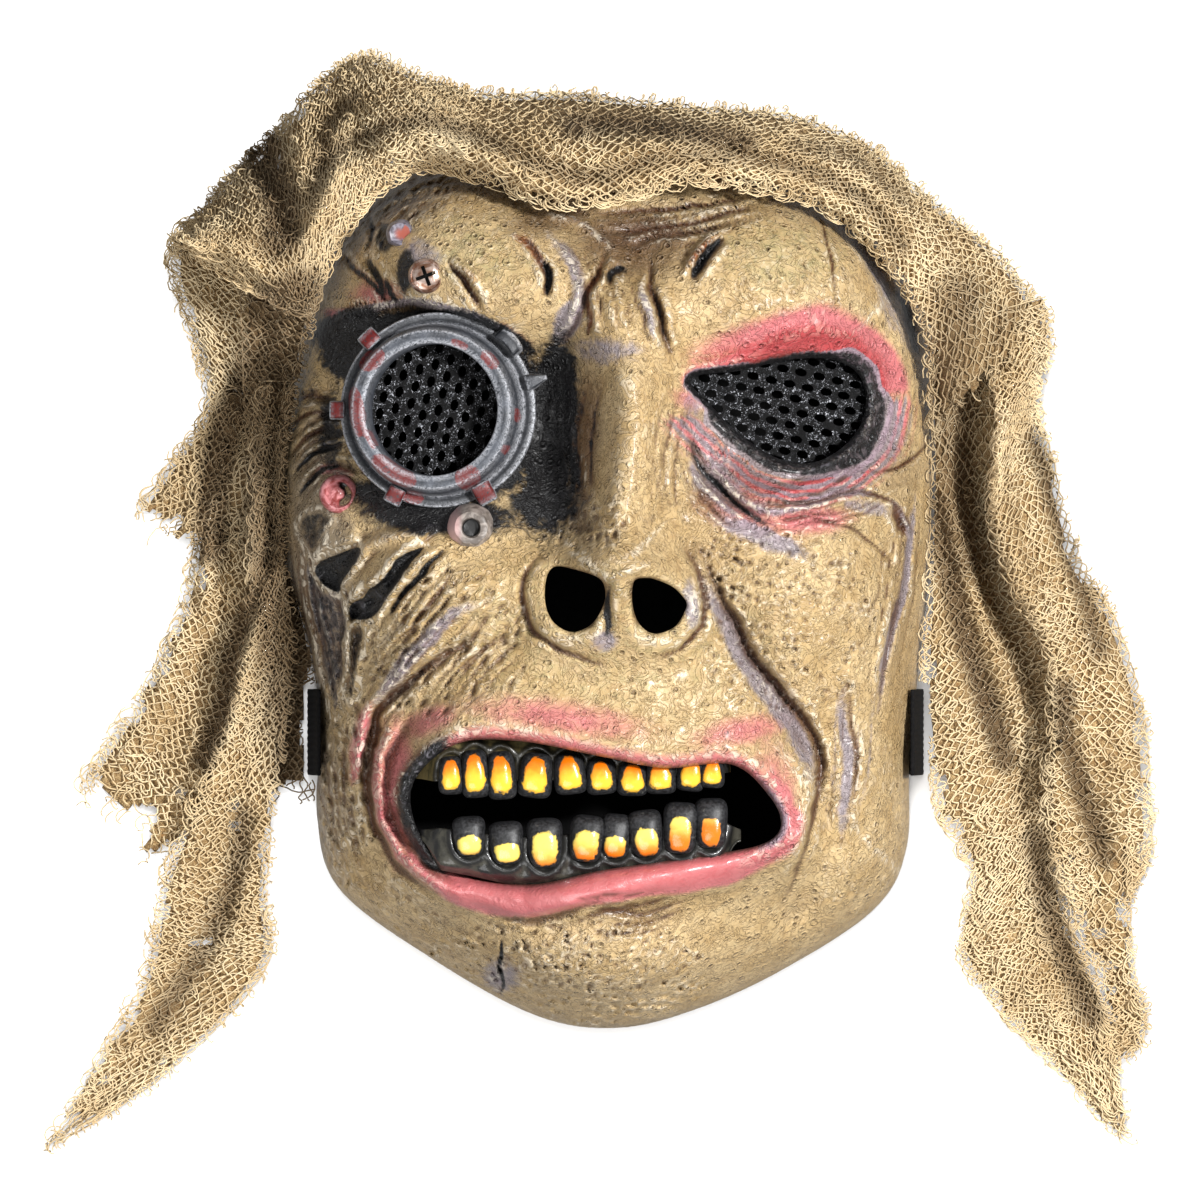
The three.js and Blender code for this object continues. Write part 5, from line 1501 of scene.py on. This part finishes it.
net_black = Finish("black net")
yarn = net_black.noise(0.7, 4, 0.65, 1.5)
glint_patches = net_black.noise(3, 3)
# painted glints: sparse bright specks on the black yarn
tone = net_black.mix(yarn.between(0.58, 0.66) * glint_patches.between(0.35, 0.6), (2, 2, 3), (210, 212, 220))
net_finish = net_black.surface(
    base_color=tone, roughness=0.5, normal=net_black.bump(yarn, 0.3, 0.9), specular_ior_level=0.12,
)
eyepiece_net = punched_net(
    "eyepiece_net_cloth",
    lambda x, y: np.hypot(x - EYEPIECE[0], y - EYEPIECE[1]) < 21.4,
    EYEPIECE, (5.2, 4.2), (3.7, 2.5), 76, lambda x, y: 65.6 + 0 * x,
)
eyepiece_net.data.materials.append(net_finish)
lid_line = curved([(BARE_EYE[0] + (x - BARE_EYE[0]) * 1.08, BARE_EYE[1] + (y - BARE_EYE[1]) * 1.08)
                   for x, y in EYE_OPENING], True, 1)
bare_net = punched_net(
    "bare_eye_net_cloth", lambda x, y: inside(x, y, lid_line), BARE_EYE, (5.6, 4.0), (3.9, 2.5), -12,
    lambda x, y: EYE_PLANE_HEIGHT - 0.85 + EYE_PLANE_SLOPE * (x - BARE_EYE[0]),
)
bare_net.data.materials.append(net_finish)
for piece, node in ((eyepiece_net, "eyepiece_net"), (bare_net, "bare_eye_net")):
    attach(piece, "root")
    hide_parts(node)

# Head strap: black ribbed elastic, 26 mm wide, glued outside both cheeks and passing under the
# arched rim. It lies loose across the hollow.
STRAP_THICKNESS = 1.1


def strap_side(rim, out):
    return [(rim - out * 2.2, 27), (rim + out * 0.3, 16), (rim + out * 1.35, 7), (rim + out * 1.1, 2.8),
            (rim - out * 1.2, 1.0), (rim - out * 10, 0.9)]


strap_line = curved(
    [*strap_side(-86, -1), (-30, 1.1), (0, 1.3), (35, 1.1), *strap_side(97.2, 1)[::-1]], step=2)
tangent = np.gradient(strap_line, axis=0)
tangent /= np.hypot(tangent[:, 0], tangent[:, 1])[:, None]
normal = np.stack([-tangent[:, 1], tangent[:, 0]], axis=1)
RIBS = 13
count = RIBS * 4 + 1
across = np.tile(np.linspace(-STRAP_WIDTH / 2, STRAP_WIDTH / 2, count), len(strap_line))
groove = 0.09 * (1 + np.cos(math.tau * np.arange(count) / 4))
rib = np.tile(STRAP_THICKNESS / 2 - groove, len(strap_line))
middle, normal = np.repeat(strap_line, count, axis=0), np.repeat(normal, count, axis=0)
faces_of_strap = [
    np.stack([middle[:, 0] + normal[:, 0] * h, STRAP_Y + across,
              np.maximum(middle[:, 1] + normal[:, 1] * h, 0.1)], axis=1)
    for h in (rib, -rib)
]
strap = piece_of("head_strap_elastic", closed_sheet(*faces_of_strap, grid_quads(len(strap_line), count)))
elastic = Finish("black elastic")
rows = elastic.add("ShaderNodeTexWave", {"wave_type": "BANDS", "bands_direction": "Z"},
                   {"Vector": elastic.place, "Scale": 1000 / 3.2})
fuzz = elastic.noise(0.8, 3, 0.6)
tone = elastic.mix(fuzz.between(0.35, 0.7), (7, 7, 8), (20, 19, 20))
strap.data.materials.append(elastic.surface(
    base_color=tone, roughness=0.9, normal=elastic.bump(fuzz + rows * 0.5, 0.2, 0.6),
    specular_ior_level=0.15,
))
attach(strap, "root")
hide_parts("head_strap")

# Hood: one torn piece of loose cotton gauze, dyed to look like old sacking. It is built thread by
# thread: long threads that waver and cross threads that pass over and under them, in two plies
# where it is bunched, with curls and frayed loops along every torn edge.
CROWN_HEM = [
    (-128, 111, 32), (-118, 103, 40), (-104, 94, 44), (-88, 87, 42), (-82, 99, 40), (-76, 111, 40),
    (-67, 122, 44), (-53, 130, 50), (-35, 126, 62), (-14, 118, 74), (8, 120, 76), (28, 125, 70),
    (46, 123, 62), (62, 120, 54), (78, 110, 48), (90, 97, 42), (98, 82, 38), (102, 48, 28),
]
CROWN_BACK = [
    (-127, 104, 8), (-123, 114, 5), (-112, 128, 4), (-101, 139, 4), (-89, 152, 4), (-78, 162, 4),
    (-68, 165, 4), (-51, 158, 4), (-34, 154, 3), (-11, 154, 3), (13, 152, 3), (38, 149, 3),
    (60, 147, 3), (82, 138, 4), (93, 129, 4), (107, 117, 4), (124, 103, 5), (136, 86, 8),
]
# each drape: its outer and inner edges from the crown down, how often it folds and how deep
DRAPES = {
    "left_back": (
        [(-125, 116, 14), (-129, 101, 10), (-123, 81, 8), (-118, 60, 7), (-129, 42, 5), (-142, 24, 3)],
        [(-84, 100, 40), (-87, 81, 34), (-92, 60, 28), (-95, 45, 24), (-103, 24, 18), (-118, 12, 9)],
        1.5, 5),
    "left_middle": (
        [(-115, 66, 9), (-121, 39, 9), (-123, 12, 8), (-131, -15, 6), (-145, -38, 5), (-158, -58, 3)],
        [(-94, 60, 28), (-96, 30, 24), (-96, 0, 20), (-99, -30, 14), (-110, -60, 9), (-131, -86, 4)],
        1.5, 4),
    "left_front": (
        [(-102, 66, 34), (-103, 39, 30), (-104, 12, 28), (-106, -12, 24), (-111, -34, 18), (-123, -64, 13),
         (-133, -90, 9), (-137, -112, 6), (-152, -141, 4), (-168, -167, 3)],
        [(-91, 66, 32), (-94.5, 39, 28), (-94.5, 12, 26), (-92, -13, 23), (-94, -37, 19), (-98, -64, 14),
         (-100, -90, 9), (-99, -108, 6), (-125, -139, 4), (-164, -166, 3)],
        1, 3),
    "left_under": (
        [(-108, 104, 30), (-107, 66, 22), (-106, 36, 14), (-105, 12, 8), (-103, -12, 6), (-101, -36, 5),
         (-99, -62, 3)],
        [(-83, 100, 36), (-91, 66, 26), (-94, 36, 18), (-93, 12, 14), (-86, -10, 10), (-85, -34, 8),
         (-86, -64, 4)],
        1, 1),
    "right_top": (
        [(136, 92, 9), (137, 75, 8), (133, 62, 7), (138, 44, 6), (146, 15, 6), (157, -5, 5), (166, -34, 4),
         (168, -59, 3), (168, -76, 3), (162, -92, 3)],
        [(110, 84, 38), (120, 62, 40), (120, 42, 37), (119, 26, 34), (126, 3, 30), (136, -14, 26),
         (138, -35, 22), (136, -60, 17), (140, -84, 11), (147, -99, 6)],
        1, 3),
    "right_low": (
        [(133, 84, 20), (132, 42, 8), (136, 12, 7), (142, -15, 7), (144, -39, 8), (141, -64, 8),
         (141, -87, 8), (146, -105, 7), (154, -123, 5), (161, -161, 3)],
        [(100, 84, 42), (101, 36, 20), (100, 0, 16), (99, -34, 14), (104, -64, 11), (114, -84, 8),
         (110, -106, 5), (121, -122, 4), (136, -138, 4), (158, -162, 3)],
        1.5, 3),
    "right_tip": (
        [(163, -70, 5), (162, -99, 5), (164, -116, 4), (167, -129, 3), (162, -140, 3)],
        [(141, -70, 14), (146, -100, 8), (154, -116, 5), (153, -132, 4), (152, -143, 3)],
        1, 1.5),
}
# the folds that the cloth lies in: rise, half width, how much painted shade lies there, points
HOOD_FOLDS = [
    # the hem, rolled outwards, and the groove behind it
    (4.5, 3.2, 0, [-120, 113, -112, 108, -104, 101, -94, 95]),
    (4.5, 3.4, 0, [-94, 97, -89, 106, -82, 116, -76, 127, -64, 133, -47, 135, -32, 130, -19, 124, -7,
      122, 4, 124]),
    (4, 3, 0, [1, 121, 16, 124, 31, 127, 49, 126, 63, 123, 75, 116, 84, 107, 92, 97, 98, 86, 103,
      74]),
    (-4, 3.2, 0.6, [-86, 121, -79, 135, -67, 141, -55, 144, -44, 142, -29, 136, -15, 129, -2, 126, 4,
      126]),
    (-5, 3.2, 0.6, [2, 127, 13, 130, 28, 133, 43, 133, 58, 130, 72, 125, 82, 118, 92, 106]),
    (-6, 4.6, 0.8, [-7, 142, 4, 143, 16, 142, 32, 139, 44, 136]),
    (-3, 3.4, 0.5, [60, 136, 72, 135, 82, 130, 92, 121]),
    # the deep fold over the left temple, and the ridge beside it
    (-8, 6, 1, [-102, 138, -99, 129, -95, 120, -95, 108]),
    (4, 3.6, 0, [-84, 161, -88, 151, -89, 141, -90, 130]),
    (-3, 3.2, 0.6, [-84, 129, -82, 138, -80, 145, -74, 151]),
    (3, 4, 0, [-120, 127, -115, 132, -110, 138, -104, 145]),
    # long folds of the cloth to the left of the face
    (-5, 5, 1, [-98, 90, -102, 75, -110, 57, -115, 39, -117, 16]),
    (3.5, 3, 0, [-107, 64, -112, 42, -117, 23, -118, 1, -116, -12]),
    (-4, 3.6, 0.9, [-95, 30, -102, 6, -110, -15, -113, -30, -119, -48]),
    (3.5, 3.4, 0, [-95, 18, -100, -3, -108, -24, -115, -46, -122, -60]),
    (2, 4, 0, [-122, 0, -128, -18, -137, -39, -146, -54]),
    (-2.5, 4, 0.7, [-107, -66, -110, -84, -119, -105, -134, -129]),
    # the cloth that the face shades on its left
    (-2, 9, 1, [-89, 90, -96, 66, -98, 42, -98, 18, -94, -12, -89, -48]),
    # long folds of the cloth to the right of the face, and the cloth that it shades
    (0, 9, 0.7, [109, 90, 107, 66, 108, 42, 111, 12]),
    (-6, 6, 0.5, [124, 86, 119, 77, 114, 63, 113, 45, 116, 24, 122, 3, 130, -15, 134, -36, 132,
      -60]),
    (3.5, 3, 0.3, [104, 39, 108, 21, 115, 0, 123, -21, 130, -39]),
    (-3, 4, 0.9, [104, 30, 106, 12, 111, -9, 118, -30, 124, -48]),
    (3.5, 4, 0, [132, 81, 127, 66, 124, 51, 123, 30, 128, 9, 138, -12]),
    (3, 5, 0, [139, 12, 148, -6, 156, -27, 160, -48, 160, -69]),
    (-3, 3.4, 0.7, [133, 48, 140, 24, 147, 3, 152, -15]),
    (-3, 3.6, 0.8, [141, -27, 142, -42, 148, -60, 154, -78]),
    (-3, 4, 0.8, [133, -72, 136, -90, 142, -108, 150, -126]),
]
# half the thickness of a thread, and how many sides it has
THREAD, THREAD_SIDES = 0.27, 3
# how high the cloth lies over the skin, and at least over the table
CLEARANCE, LOWEST = 1.6, 0.7
# how deep under the skin's level a cloth is lifted out, and deeper than which it is cut away
DEEPEST = 7
# how far the ground lies under its threads, half its thickness, and the size of its cells
SINK, HALF_PLY, GROUND_CELL = 1.1, 0.2, 1.5


def murmur(x, y, size, seed):
    """Smooth noise from about -1 to 1, of crossing waves about size millimetres long."""
    chance = np.random.default_rng(int(seed * 10))
    total = np.zeros(x.shape)
    for _ in range(7):
        heading = chance.uniform(0, math.tau)
        turn = math.tau / (size * chance.uniform(1.5, 3.0))
        far = x * math.cos(heading) + y * math.sin(heading)
        total += np.sin(turn * far + chance.uniform(0, math.tau))
    return total / 3


def pressed(p):
    """Presses the folds into points of the cloth, and tells how much painted shade lies at each."""
    dark = np.zeros(len(p))
    for rise, width, fold_shade, points in HOOD_FOLDS:
        line = curved(points)
        near = nearby(p[:, 0], p[:, 1], line, 2.6 * width)
        if len(near):
            d, _, along = trace(p[near, 0], p[near, 1], line)
            share = np.exp(-(d / width) ** 2) * ease(along, -0.05, 0.12) * ease(1 - along, -0.05, 0.12)
            p[near, 2] += 1.2 * rise * share
            # painted shade: darker in the folds' valleys and on the cloth beside the face
            dark[near] = np.maximum(dark[near], fold_shade * np.exp(-(0.75 * d / width) ** 2) * (share > 0.02))
    return dark


def splined(points, u):
    """Places along a centripetal spline through points, for shares from 0 to 1."""
    p = np.array(points, float)
    p = np.vstack([2 * p[0] - p[1], p, 2 * p[-1] - p[-2]])
    at = np.clip(u, 0, 1) * (len(points) - 1)
    i = np.minimum(at.astype(int), len(points) - 2)
    t = (at - i)[:, None]
    p0, p1, p2, p3 = p[i], p[i + 1], p[i + 2], p[i + 3]
    d0, d1, d2 = [np.maximum((((b - a) ** 2).sum(axis=1) ** 0.25), 1e-4)[:, None]
                  for a, b in ((p0, p1), (p1, p2), (p2, p3))]
    m1 = ((p1 - p0) / d0 - (p2 - p0) / (d0 + d1) + (p2 - p1) / d1) * d1
    m2 = ((p2 - p1) / d1 - (p3 - p1) / (d1 + d2) + (p3 - p2) / d2) * d1
    return cubic(p1, p2, m1, m2, t)


def crown_cloth(u, v):
    hem, back = splined(CROWN_HEM, u), splined(CROWN_BACK, u)
    v = v[:, None]
    p = hem + (back - hem) * v
    top = hem[:, 2:] + 12 * np.sin(math.pi * np.minimum(v * 1.3, 1))
    p[:, 2:] = top + (back[:, 2:] - top) * v ** 4
    fold = np.sin(math.pi * v[:, 0]) * (
        3.2 * np.sin(u * 31 + 2.5 * v[:, 0]) + 2.2 * np.sin(u * 53 - 3 * v[:, 0] + 1))
    p[:, 2] += fold
    return p


def drape_cloth(name):
    outer, inner, folds, depth = DRAPES[name]

    def surface(u, v):
        p = splined(outer, u) + (splined(inner, u) - splined(outer, u)) * v[:, None]
        wave = np.sin(math.pi * v) * np.sin(math.tau * folds * v + 2 * u)
        p[:, 2] += depth * wave * (1 - 0.4 * u)
        return p

    return surface


def clear_of_face(p):
    """Lifts points that are just under the skin onto it, and tells which are too deep to keep."""
    share = rim_share(p[:, 0], p[:, 1])
    level = face_forms(p[:, 0], p[:, 1]) + CLEARANCE
    for rise, *where in LUMPS[:3]:
        level += rise * swelling(p[:, 0], p[:, 1], *where)
    over = share < 1.012
    keep = ~over | (p[:, 2] > level - DEEPEST)
    strap_room = ((np.abs(p[:, 1] - STRAP_Y) < STRAP_WIDTH / 2 + 1.5)
                  & (p[:, 0] > -89) & (p[:, 0] < 100.2) & (p[:, 2] < 30))
    p[:, 2] = np.where(over, np.maximum(p[:, 2], level), p[:, 2])
    p[:, 2] = np.maximum(p[:, 2], LOWEST)
    return keep & ~strap_room


def tubes(threads, radius, sides):
    """A mesh of closed thin tubes along lines of points, each with the cloth's normals."""
    all_points, all_faces = [], []
    base = 0
    angles = np.arange(sides) * math.tau / sides
    for line, up, _ in threads:
        n = len(line)
        tangent = np.gradient(line, axis=0)
        tangent /= np.linalg.norm(tangent, axis=1)[:, None] + 1e-9
        side = np.cross(up, tangent)
        side /= np.linalg.norm(side, axis=1)[:, None] + 1e-9
        lift = np.cross(tangent, side)
        ring_points = line[:, None, :] + radius * (
            np.cos(angles)[None, :, None] * side[:, None, :]
            + np.sin(angles)[None, :, None] * lift[:, None, :])
        all_points.append(ring_points.reshape(-1, 3))
        index = base + np.arange(n * sides).reshape(n, sides)
        following = np.roll(index, -1, axis=1)
        quads = np.stack([index[:-1], following[:-1], following[1:], index[1:]], axis=-1).reshape(-1, 4)
        all_faces.extend(map(tuple, quads))
        all_faces.append(tuple(index[0][::-1]))
        all_faces.append(tuple(index[-1]))
        base += n * sides
    return np.vstack(all_points), all_faces


def upwards(surface, u, v):
    """Places on a cloth's surface and the way it faces there, up out of the picture."""
    e = 1e-3
    du = surface(np.clip(u + e, 0, 1), v) - surface(np.clip(u - e, 0, 1), v)
    dv = surface(u, np.clip(v + e, 0, 1)) - surface(u, np.clip(v - e, 0, 1))
    up = np.cross(du, dv)
    up /= np.linalg.norm(up, axis=1)[:, None] + 1e-12
    up *= np.where(up[:, 2:] < 0, -1, 1)
    return surface(u, v), up


def pieces_kept(p, up, counts):
    """Presses lines of points into the folds and cuts them where they would run into the face."""
    dark = pressed(p)
    keep = clear_of_face(p)
    threads, first = [], 0
    for count in counts:
        start = None
        for i in range(first, first + count + 1):
            kept = i < first + count and keep[i]
            if kept and start is None:
                start = i
            elif not kept and start is not None:
                if i - start >= 3:
                    threads.append((p[start:i], up[start:i], dark[start:i]))
                start = None
        first += count
    return threads


def settle(lines, surface, seed):
    """Lays lines of (u, v, lift) on a cloth."""
    u, v, lift = (np.concatenate([line[k] for line in lines]) for k in range(3))
    p, up = upwards(surface, u, v)
    p = p + up * lift[:, None]
    p[:, 2] += 0.5 * murmur(p[:, 0], p[:, 1], 4, seed)
    return pieces_kept(p, up, [len(u) for u, _, _ in lines])


def woven(surface, length, width, pitch, seed, fray, waver=0.5):
    """The threads of one ply: long ones that lean on one neighbour and then the other, as in a net,
    and cross threads that pass over and under them."""
    chance = np.random.default_rng(seed)
    lines = []
    step = 0.75
    count = max(3, int(round(width / pitch)))
    cells = max(4, int(round(length / (2.1 * pitch))))
    u = np.linspace(0, 1, max(8, int(length / step)))

    def drift(u, v, amount, kind):
        x, y = u * length, v * width
        return amount * (1.6 * murmur(x, y, 14, seed + kind) + murmur(x, y, 4, seed + kind + 0.3))

    for i in range(count + 1):
        low, high = chance.uniform(0, 0.04), chance.uniform(0, 1.3 * fray + 2) / length
        along = u[(u >= low) & (u <= 1 - high)]
        across = np.full(along.shape, i / count)
        phase = math.tau * along * cells + math.pi * i
        phase = phase + 0.5 * murmur(along * length, across, 9, seed + 4)
        lines.append((
            along + drift(along, across, waver, 0.5) / length,
            across + (0.46 * pitch * np.sin(phase) + drift(along, across, waver, 7.5)) / width,
            0.1 + 0.3 * np.sin(phase / 2),
        ))
    rows = max(4, int(round(length / (1.9 * pitch))))
    v = np.linspace(0, 1, max(6, int(width / step)))
    for j in range(rows + 1):
        u0 = np.full(v.shape, (j + chance.uniform(-0.25, 0.25)) / rows)
        if (1 - u0[0]) * length < fray * chance.uniform(0.6, 1.6):
            continue
        slant = chance.uniform(-1.2, 1.2) * np.sin(v * 7 + j)
        lines.append((
            u0 + (drift(u0, v, 2 * waver, 3.5) + slant) / length,
            v + drift(u0, v, waver, 9.5) / width,
            -0.1 + 0.3 * np.sin(math.pi * v * count + math.pi * j),
        ))
    return settle([(np.clip(a, 0, 1), np.clip(b, 0, 1), c) for a, b, c in lines], surface, seed)


def ground(surface, length, width, seed, torn, fray):
    """The cloth under the loose threads as one closed thin sheet, with ragged edges."""
    rows, columns = max(6, int(length / GROUND_CELL)), max(4, int(width / GROUND_CELL))
    u, v = np.meshgrid(np.linspace(0.004, 0.996, rows), np.linspace(0.01, 0.99, columns), indexing="ij")
    u, v = u.ravel(), v.ravel()
    p, up = upwards(surface, u, v)
    p -= up * SINK
    p[:, 2] += 0.4 * murmur(p[:, 0], p[:, 1], 4, seed)
    dark = pressed(p)
    keep = clear_of_face(p)
    edge = np.minimum(np.minimum(u, 1 - u) * length, np.minimum(v, 1 - v) * width)
    rag = 1 + murmur(u * length, v * width, 5, seed + 2.1)
    keep &= edge > rag
    keep &= (1 - u) * length > fray * (0.9 + 0.7 * murmur(v * width, 0 * v, 5, seed + 1.7))
    keep &= murmur(u * length, v * width, 3.2, seed + 5.3) > -2 + torn
    quads = grid_quads(rows, columns)
    quads = quads[keep[quads].all(axis=1)]
    used, flat_index = np.unique(quads, return_inverse=True)
    top, under = p[used] + HALF_PLY * up[used], p[used] - HALF_PLY * up[used]
    quads = flat_index.reshape(-1, 4)
    normal = np.cross(top[quads[:, 1]] - top[quads[:, 0]], top[quads[:, 3]] - top[quads[:, 0]])
    if normal[:, 2].mean() < 0:
        quads = quads[:, ::-1]
    return *closed_sheet(top, under, quads), np.concatenate([dark[used], dark[used]])


LOOP_POINTS = 7


def curls(surface, number, seed):
    """Short stray threads: curls on the cloth and frayed loops past its edges."""
    chance = np.random.default_rng(seed)
    u, v = chance.random(number), chance.random(number)
    v = np.where(chance.random(number) < 0.5, np.round(v), v)
    here = surface(u, v)[:, :, None]
    near = surface(np.minimum(u + 0.01, 1), v)
    facing = np.arctan2(near[:, 1] - here[:, 1, 0], near[:, 0] - here[:, 0, 0] + 1e-9)[:, None]
    size = chance.uniform(0.8, 2.3, (number, 1))
    begin = chance.uniform(0, math.tau, (number, 1))
    a = begin + np.linspace(0, 1, LOOP_POINTS) * chance.uniform(2.0, 5.0, (number, 1))
    r = size * (1 + 0.25 * np.sin(a * 2 + begin))
    p = np.stack([here[:, 0] + r * np.cos(a) + 0.8 * np.cos(facing) * (a - begin),
                  here[:, 1] + r * np.sin(a) + 0.8 * np.sin(facing) * (a - begin),
                  here[:, 2] + 0.7 + 0.4 * np.sin(a * 1.7)], axis=2).reshape(-1, 3)
    return pieces_kept(p, np.tile((0.0, 0.0, 1.0), (len(p), 1)), [LOOP_POINTS] * number)


gauze = Finish("old gauze")
shade_of, painted_shade, _ = gauze.channels("thread")
dye_and_shade = gauze.noise(22, 3)
fibre = gauze.noise(0.6, 3, 0.6)
tone = gauze.mix(dye_and_shade.between(0.35, 0.65), (216, 190, 146), (240, 219, 178))
tone = gauze.mix((1 - shade_of) * 0.5, tone, (166, 142, 104))
# painted shade: darker in the folds' valleys, beside the face and on the cloths that lie under others
tone = gauze.mix(painted_shade.between(0.1, 0.9) * 0.85, tone, (96, 72, 44))
tone = gauze.mix(fibre.between(0.5, 0.7) * 0.3, tone, (238, 224, 190))
gauze_finish = gauze.surface(base_color=tone, roughness=0.92, normal=gauze.bump(fibre, 0.15, 0.8))

packed = Finish("packed gauze")
_, packed_dark, _ = packed.channels("thread")
strands = 1 - abs(packed.noise(2.2, 2, 0.5, 2.2) - 0.5).between(0.015, 0.1)
fine_strands = 1 - abs(packed.noise(1.3, 2, 0.5, 1.6) - 0.5).between(0.02, 0.1)
lines_of_thread = 0.6 * strands + 0.4 * fine_strands
ground_tone = packed.mix(lines_of_thread, (132, 99, 58), (204, 174, 124))
# painted shade: the ground darker in the same places
ground_tone = packed.mix(packed_dark.between(0.1, 0.9) * 0.8, ground_tone, (84, 62, 36))
packed_finish = packed.surface(
    base_color=ground_tone, roughness=0.95, normal=packed.bump(lines_of_thread, 0.6, 0.9))


def hang(name, threads, sheet, dye_and_shade):
    """Makes one piece of cloth of its threads and its ground."""
    points, faces = tubes(threads, THREAD, THREAD_SIDES)
    loose, base = len(faces), len(points)
    sheet_points, sheet_faces, sheet_dark = sheet
    faces += [tuple(i + base for i in f) for f in sheet_faces]
    shade = [np.full(len(line) * THREAD_SIDES, 0.5 + 0.5 * noise.noise((k * 0.37, 0, 3)))
             for k, (line, _, _) in enumerate(threads)]
    dark = [np.repeat(each, THREAD_SIDES) for _, _, each in threads]
    cloth = piece_of(name, (np.vstack([points, sheet_points]), faces))
    # painted shade: the thread attribute's second channel, from the folds and from each cloth's own shade
    mark(cloth, "thread", np.concatenate([*shade, np.ones(len(sheet_points))]),
         np.maximum(np.concatenate([*dark, sheet_dark]), dye_and_shade))
    cloth.data.materials.append(gauze_finish)
    cloth.data.materials.append(packed_finish)
    cloth.data.polygons.foreach_set("material_index", [0] * loose + [1] * (len(faces) - loose))
    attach(cloth, "root")
    return cloth


def cloth_area(surface, rows=80, columns=30):
    """The area of a cloth with its folds, in square millimetres, from the triangles of a grid."""
    u, v = np.meshgrid(np.linspace(0, 1, rows), np.linspace(0, 1, columns), indexing="ij")
    p = surface(u.ravel(), v.ravel()).reshape(rows, columns, 3)
    one = np.cross(p[1:, :-1] - p[:-1, :-1], p[:-1, 1:] - p[:-1, :-1])
    two = np.cross(p[:-1, 1:] - p[1:, 1:], p[1:, :-1] - p[1:, 1:])
    return 0.5 * (np.linalg.norm(one, axis=2).sum() + np.linalg.norm(two, axis=2).sum())


def part_of(surface, low, high):
    return lambda u, v: surface(low + (high - low) * u, v)


CROWN_PARTS = {"crown_left": (0.0, 0.46), "crown_right": (0.4, 1.0)}
CLOTHS = [
    # name, length, width, pitch of the threads, curls, how torn, how much painted shade lies on it, how
    # frayed
    ("crown_left", 164, 44, 1.5, 900, 0.0, 0.0, 0),
    ("crown_right", 196, 40, 1.5, 900, 0.0, 0.0, 0),
    ("left_back", 110, 38, 1.6, 400, 0.7, 0.3, 6),
    ("left_middle", 132, 32, 1.5, 400, 0.4, 0.1, 8),
    ("left_front", 250, 26, 1.45, 700, 0.5, 0.0, 8),
    ("left_under", 170, 18, 1.7, 30, 0.0, 1.0, 5),
    ("right_top", 198, 24, 1.45, 600, 0.3, 0.0, 4),
    ("right_low", 256, 36, 1.5, 800, 0.1, 0.1, 6),
    ("right_tip", 74, 14, 1.6, 140, 0.8, 0.0, 8),
]
PLIES, CUT_WIDER = 2, 1.01
for seed, (name, length, width, pitch, loops, torn, dye_and_shade, fray) in enumerate(CLOTHS):
    surface = part_of(crown_cloth, *CROWN_PARTS[name]) if name in CROWN_PARTS else drape_cloth(name)
    threads = woven(surface, length, width, pitch, 3 * seed + 1, fray)
    threads += curls(surface, loops, seed + 40)
    sheet = ground(surface, length, width, 3 * seed + 2, torn, fray)
    area = PLIES * cloth_area(surface) * MM ** 2
    hang("gauze_" + name, threads, sheet, dye_and_shade)
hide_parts("gauze_hood")

# Floor and light: a pale seamless table, evenly lit, and over the mask a small key light from the
# upper right that draws its folds. Black paper lies under the hollow, out of sight from outside, as
# painted shade that the openings show.
bpy.ops.mesh.primitive_plane_add(size=6, location=(0, 0, 0))
floor = bpy.context.object
floor.name = "floor"
table = Finish("pale table")
floor.data.materials.append(table.surface(base_color=paint_colour(236, 236, 236), roughness=0.9))
floor.visible_diffuse = False
floor.visible_glossy = False
# painted shade: a black card under the hollow, so the mouth, the nostrils and the nets show black
bpy.ops.mesh.primitive_circle_add(vertices=64, radius=1, fill_type="NGON", location=(0, 0, 0))
paper = bpy.context.object
paper.name = "paper"
PAPER_INSET, PAPER_LEVEL = 6, 0.4


def under_the_hollow(p):
    angle = np.arctan2(p[:, 1], p[:, 0])
    r = np.hypot(p[:, 0], p[:, 1]) * MM * (rim_radius(angle) - PAPER_INSET)
    x, y = FACE_CENTRE[0] + r * np.cos(angle), FACE_CENTRE[1] + r * np.sin(angle)
    return np.stack([x, y, 0 * r + PAPER_LEVEL], axis=1)


reshape(paper, under_the_hollow)
shade_card_finish = Finish("black paper")
paper.data.materials.append(shade_card_finish.surface(base_color=paint_colour(14, 14, 14), roughness=1.0))


def lamp(name, place, size, power, reached=None, aim=(0, 0, 0.05)):
    data = bpy.data.lights.new(name, "AREA")
    data.shape = "DISK"
    data.size = size
    data.energy = power
    lit = bpy.data.objects.new(name, data)
    lit.location = place
    lit.rotation_euler = (Vector(aim) - Vector(place)).to_track_quat("-Z", "Y").to_euler()
    bpy.context.collection.objects.link(lit)
    if reached:
        lit.light_linking.receiver_collection = bpy.data.collections.new(name + " reaches")
        for each in reached:
            lit.light_linking.receiver_collection.objects.link(each)


on_the_table = [each for each in bpy.context.scene.objects if each.type == "MESH"]
lamp("key", (1.02, 0.26, 1.68), 0.24, 61, [each for each in on_the_table if each is not floor])
lamp("fill", (-0.6, -1.2, 1.7), 1.6, 26)
lamp("table light", (0.1, 0.95, 2.2), 1.3, 60, [floor])
lamp("table fill", (0, 0, 2.6), 2.6, 50, [floor])
world = bpy.data.worlds.new("studio")
bpy.context.scene.world = world
world.use_nodes = True
world.node_tree.nodes["Background"].inputs["Color"].default_value = (1, 1, 1, 1)
world.node_tree.nodes["Background"].inputs["Strength"].default_value = 0.38
bpy.context.scene.view_settings.view_transform = "Standard"
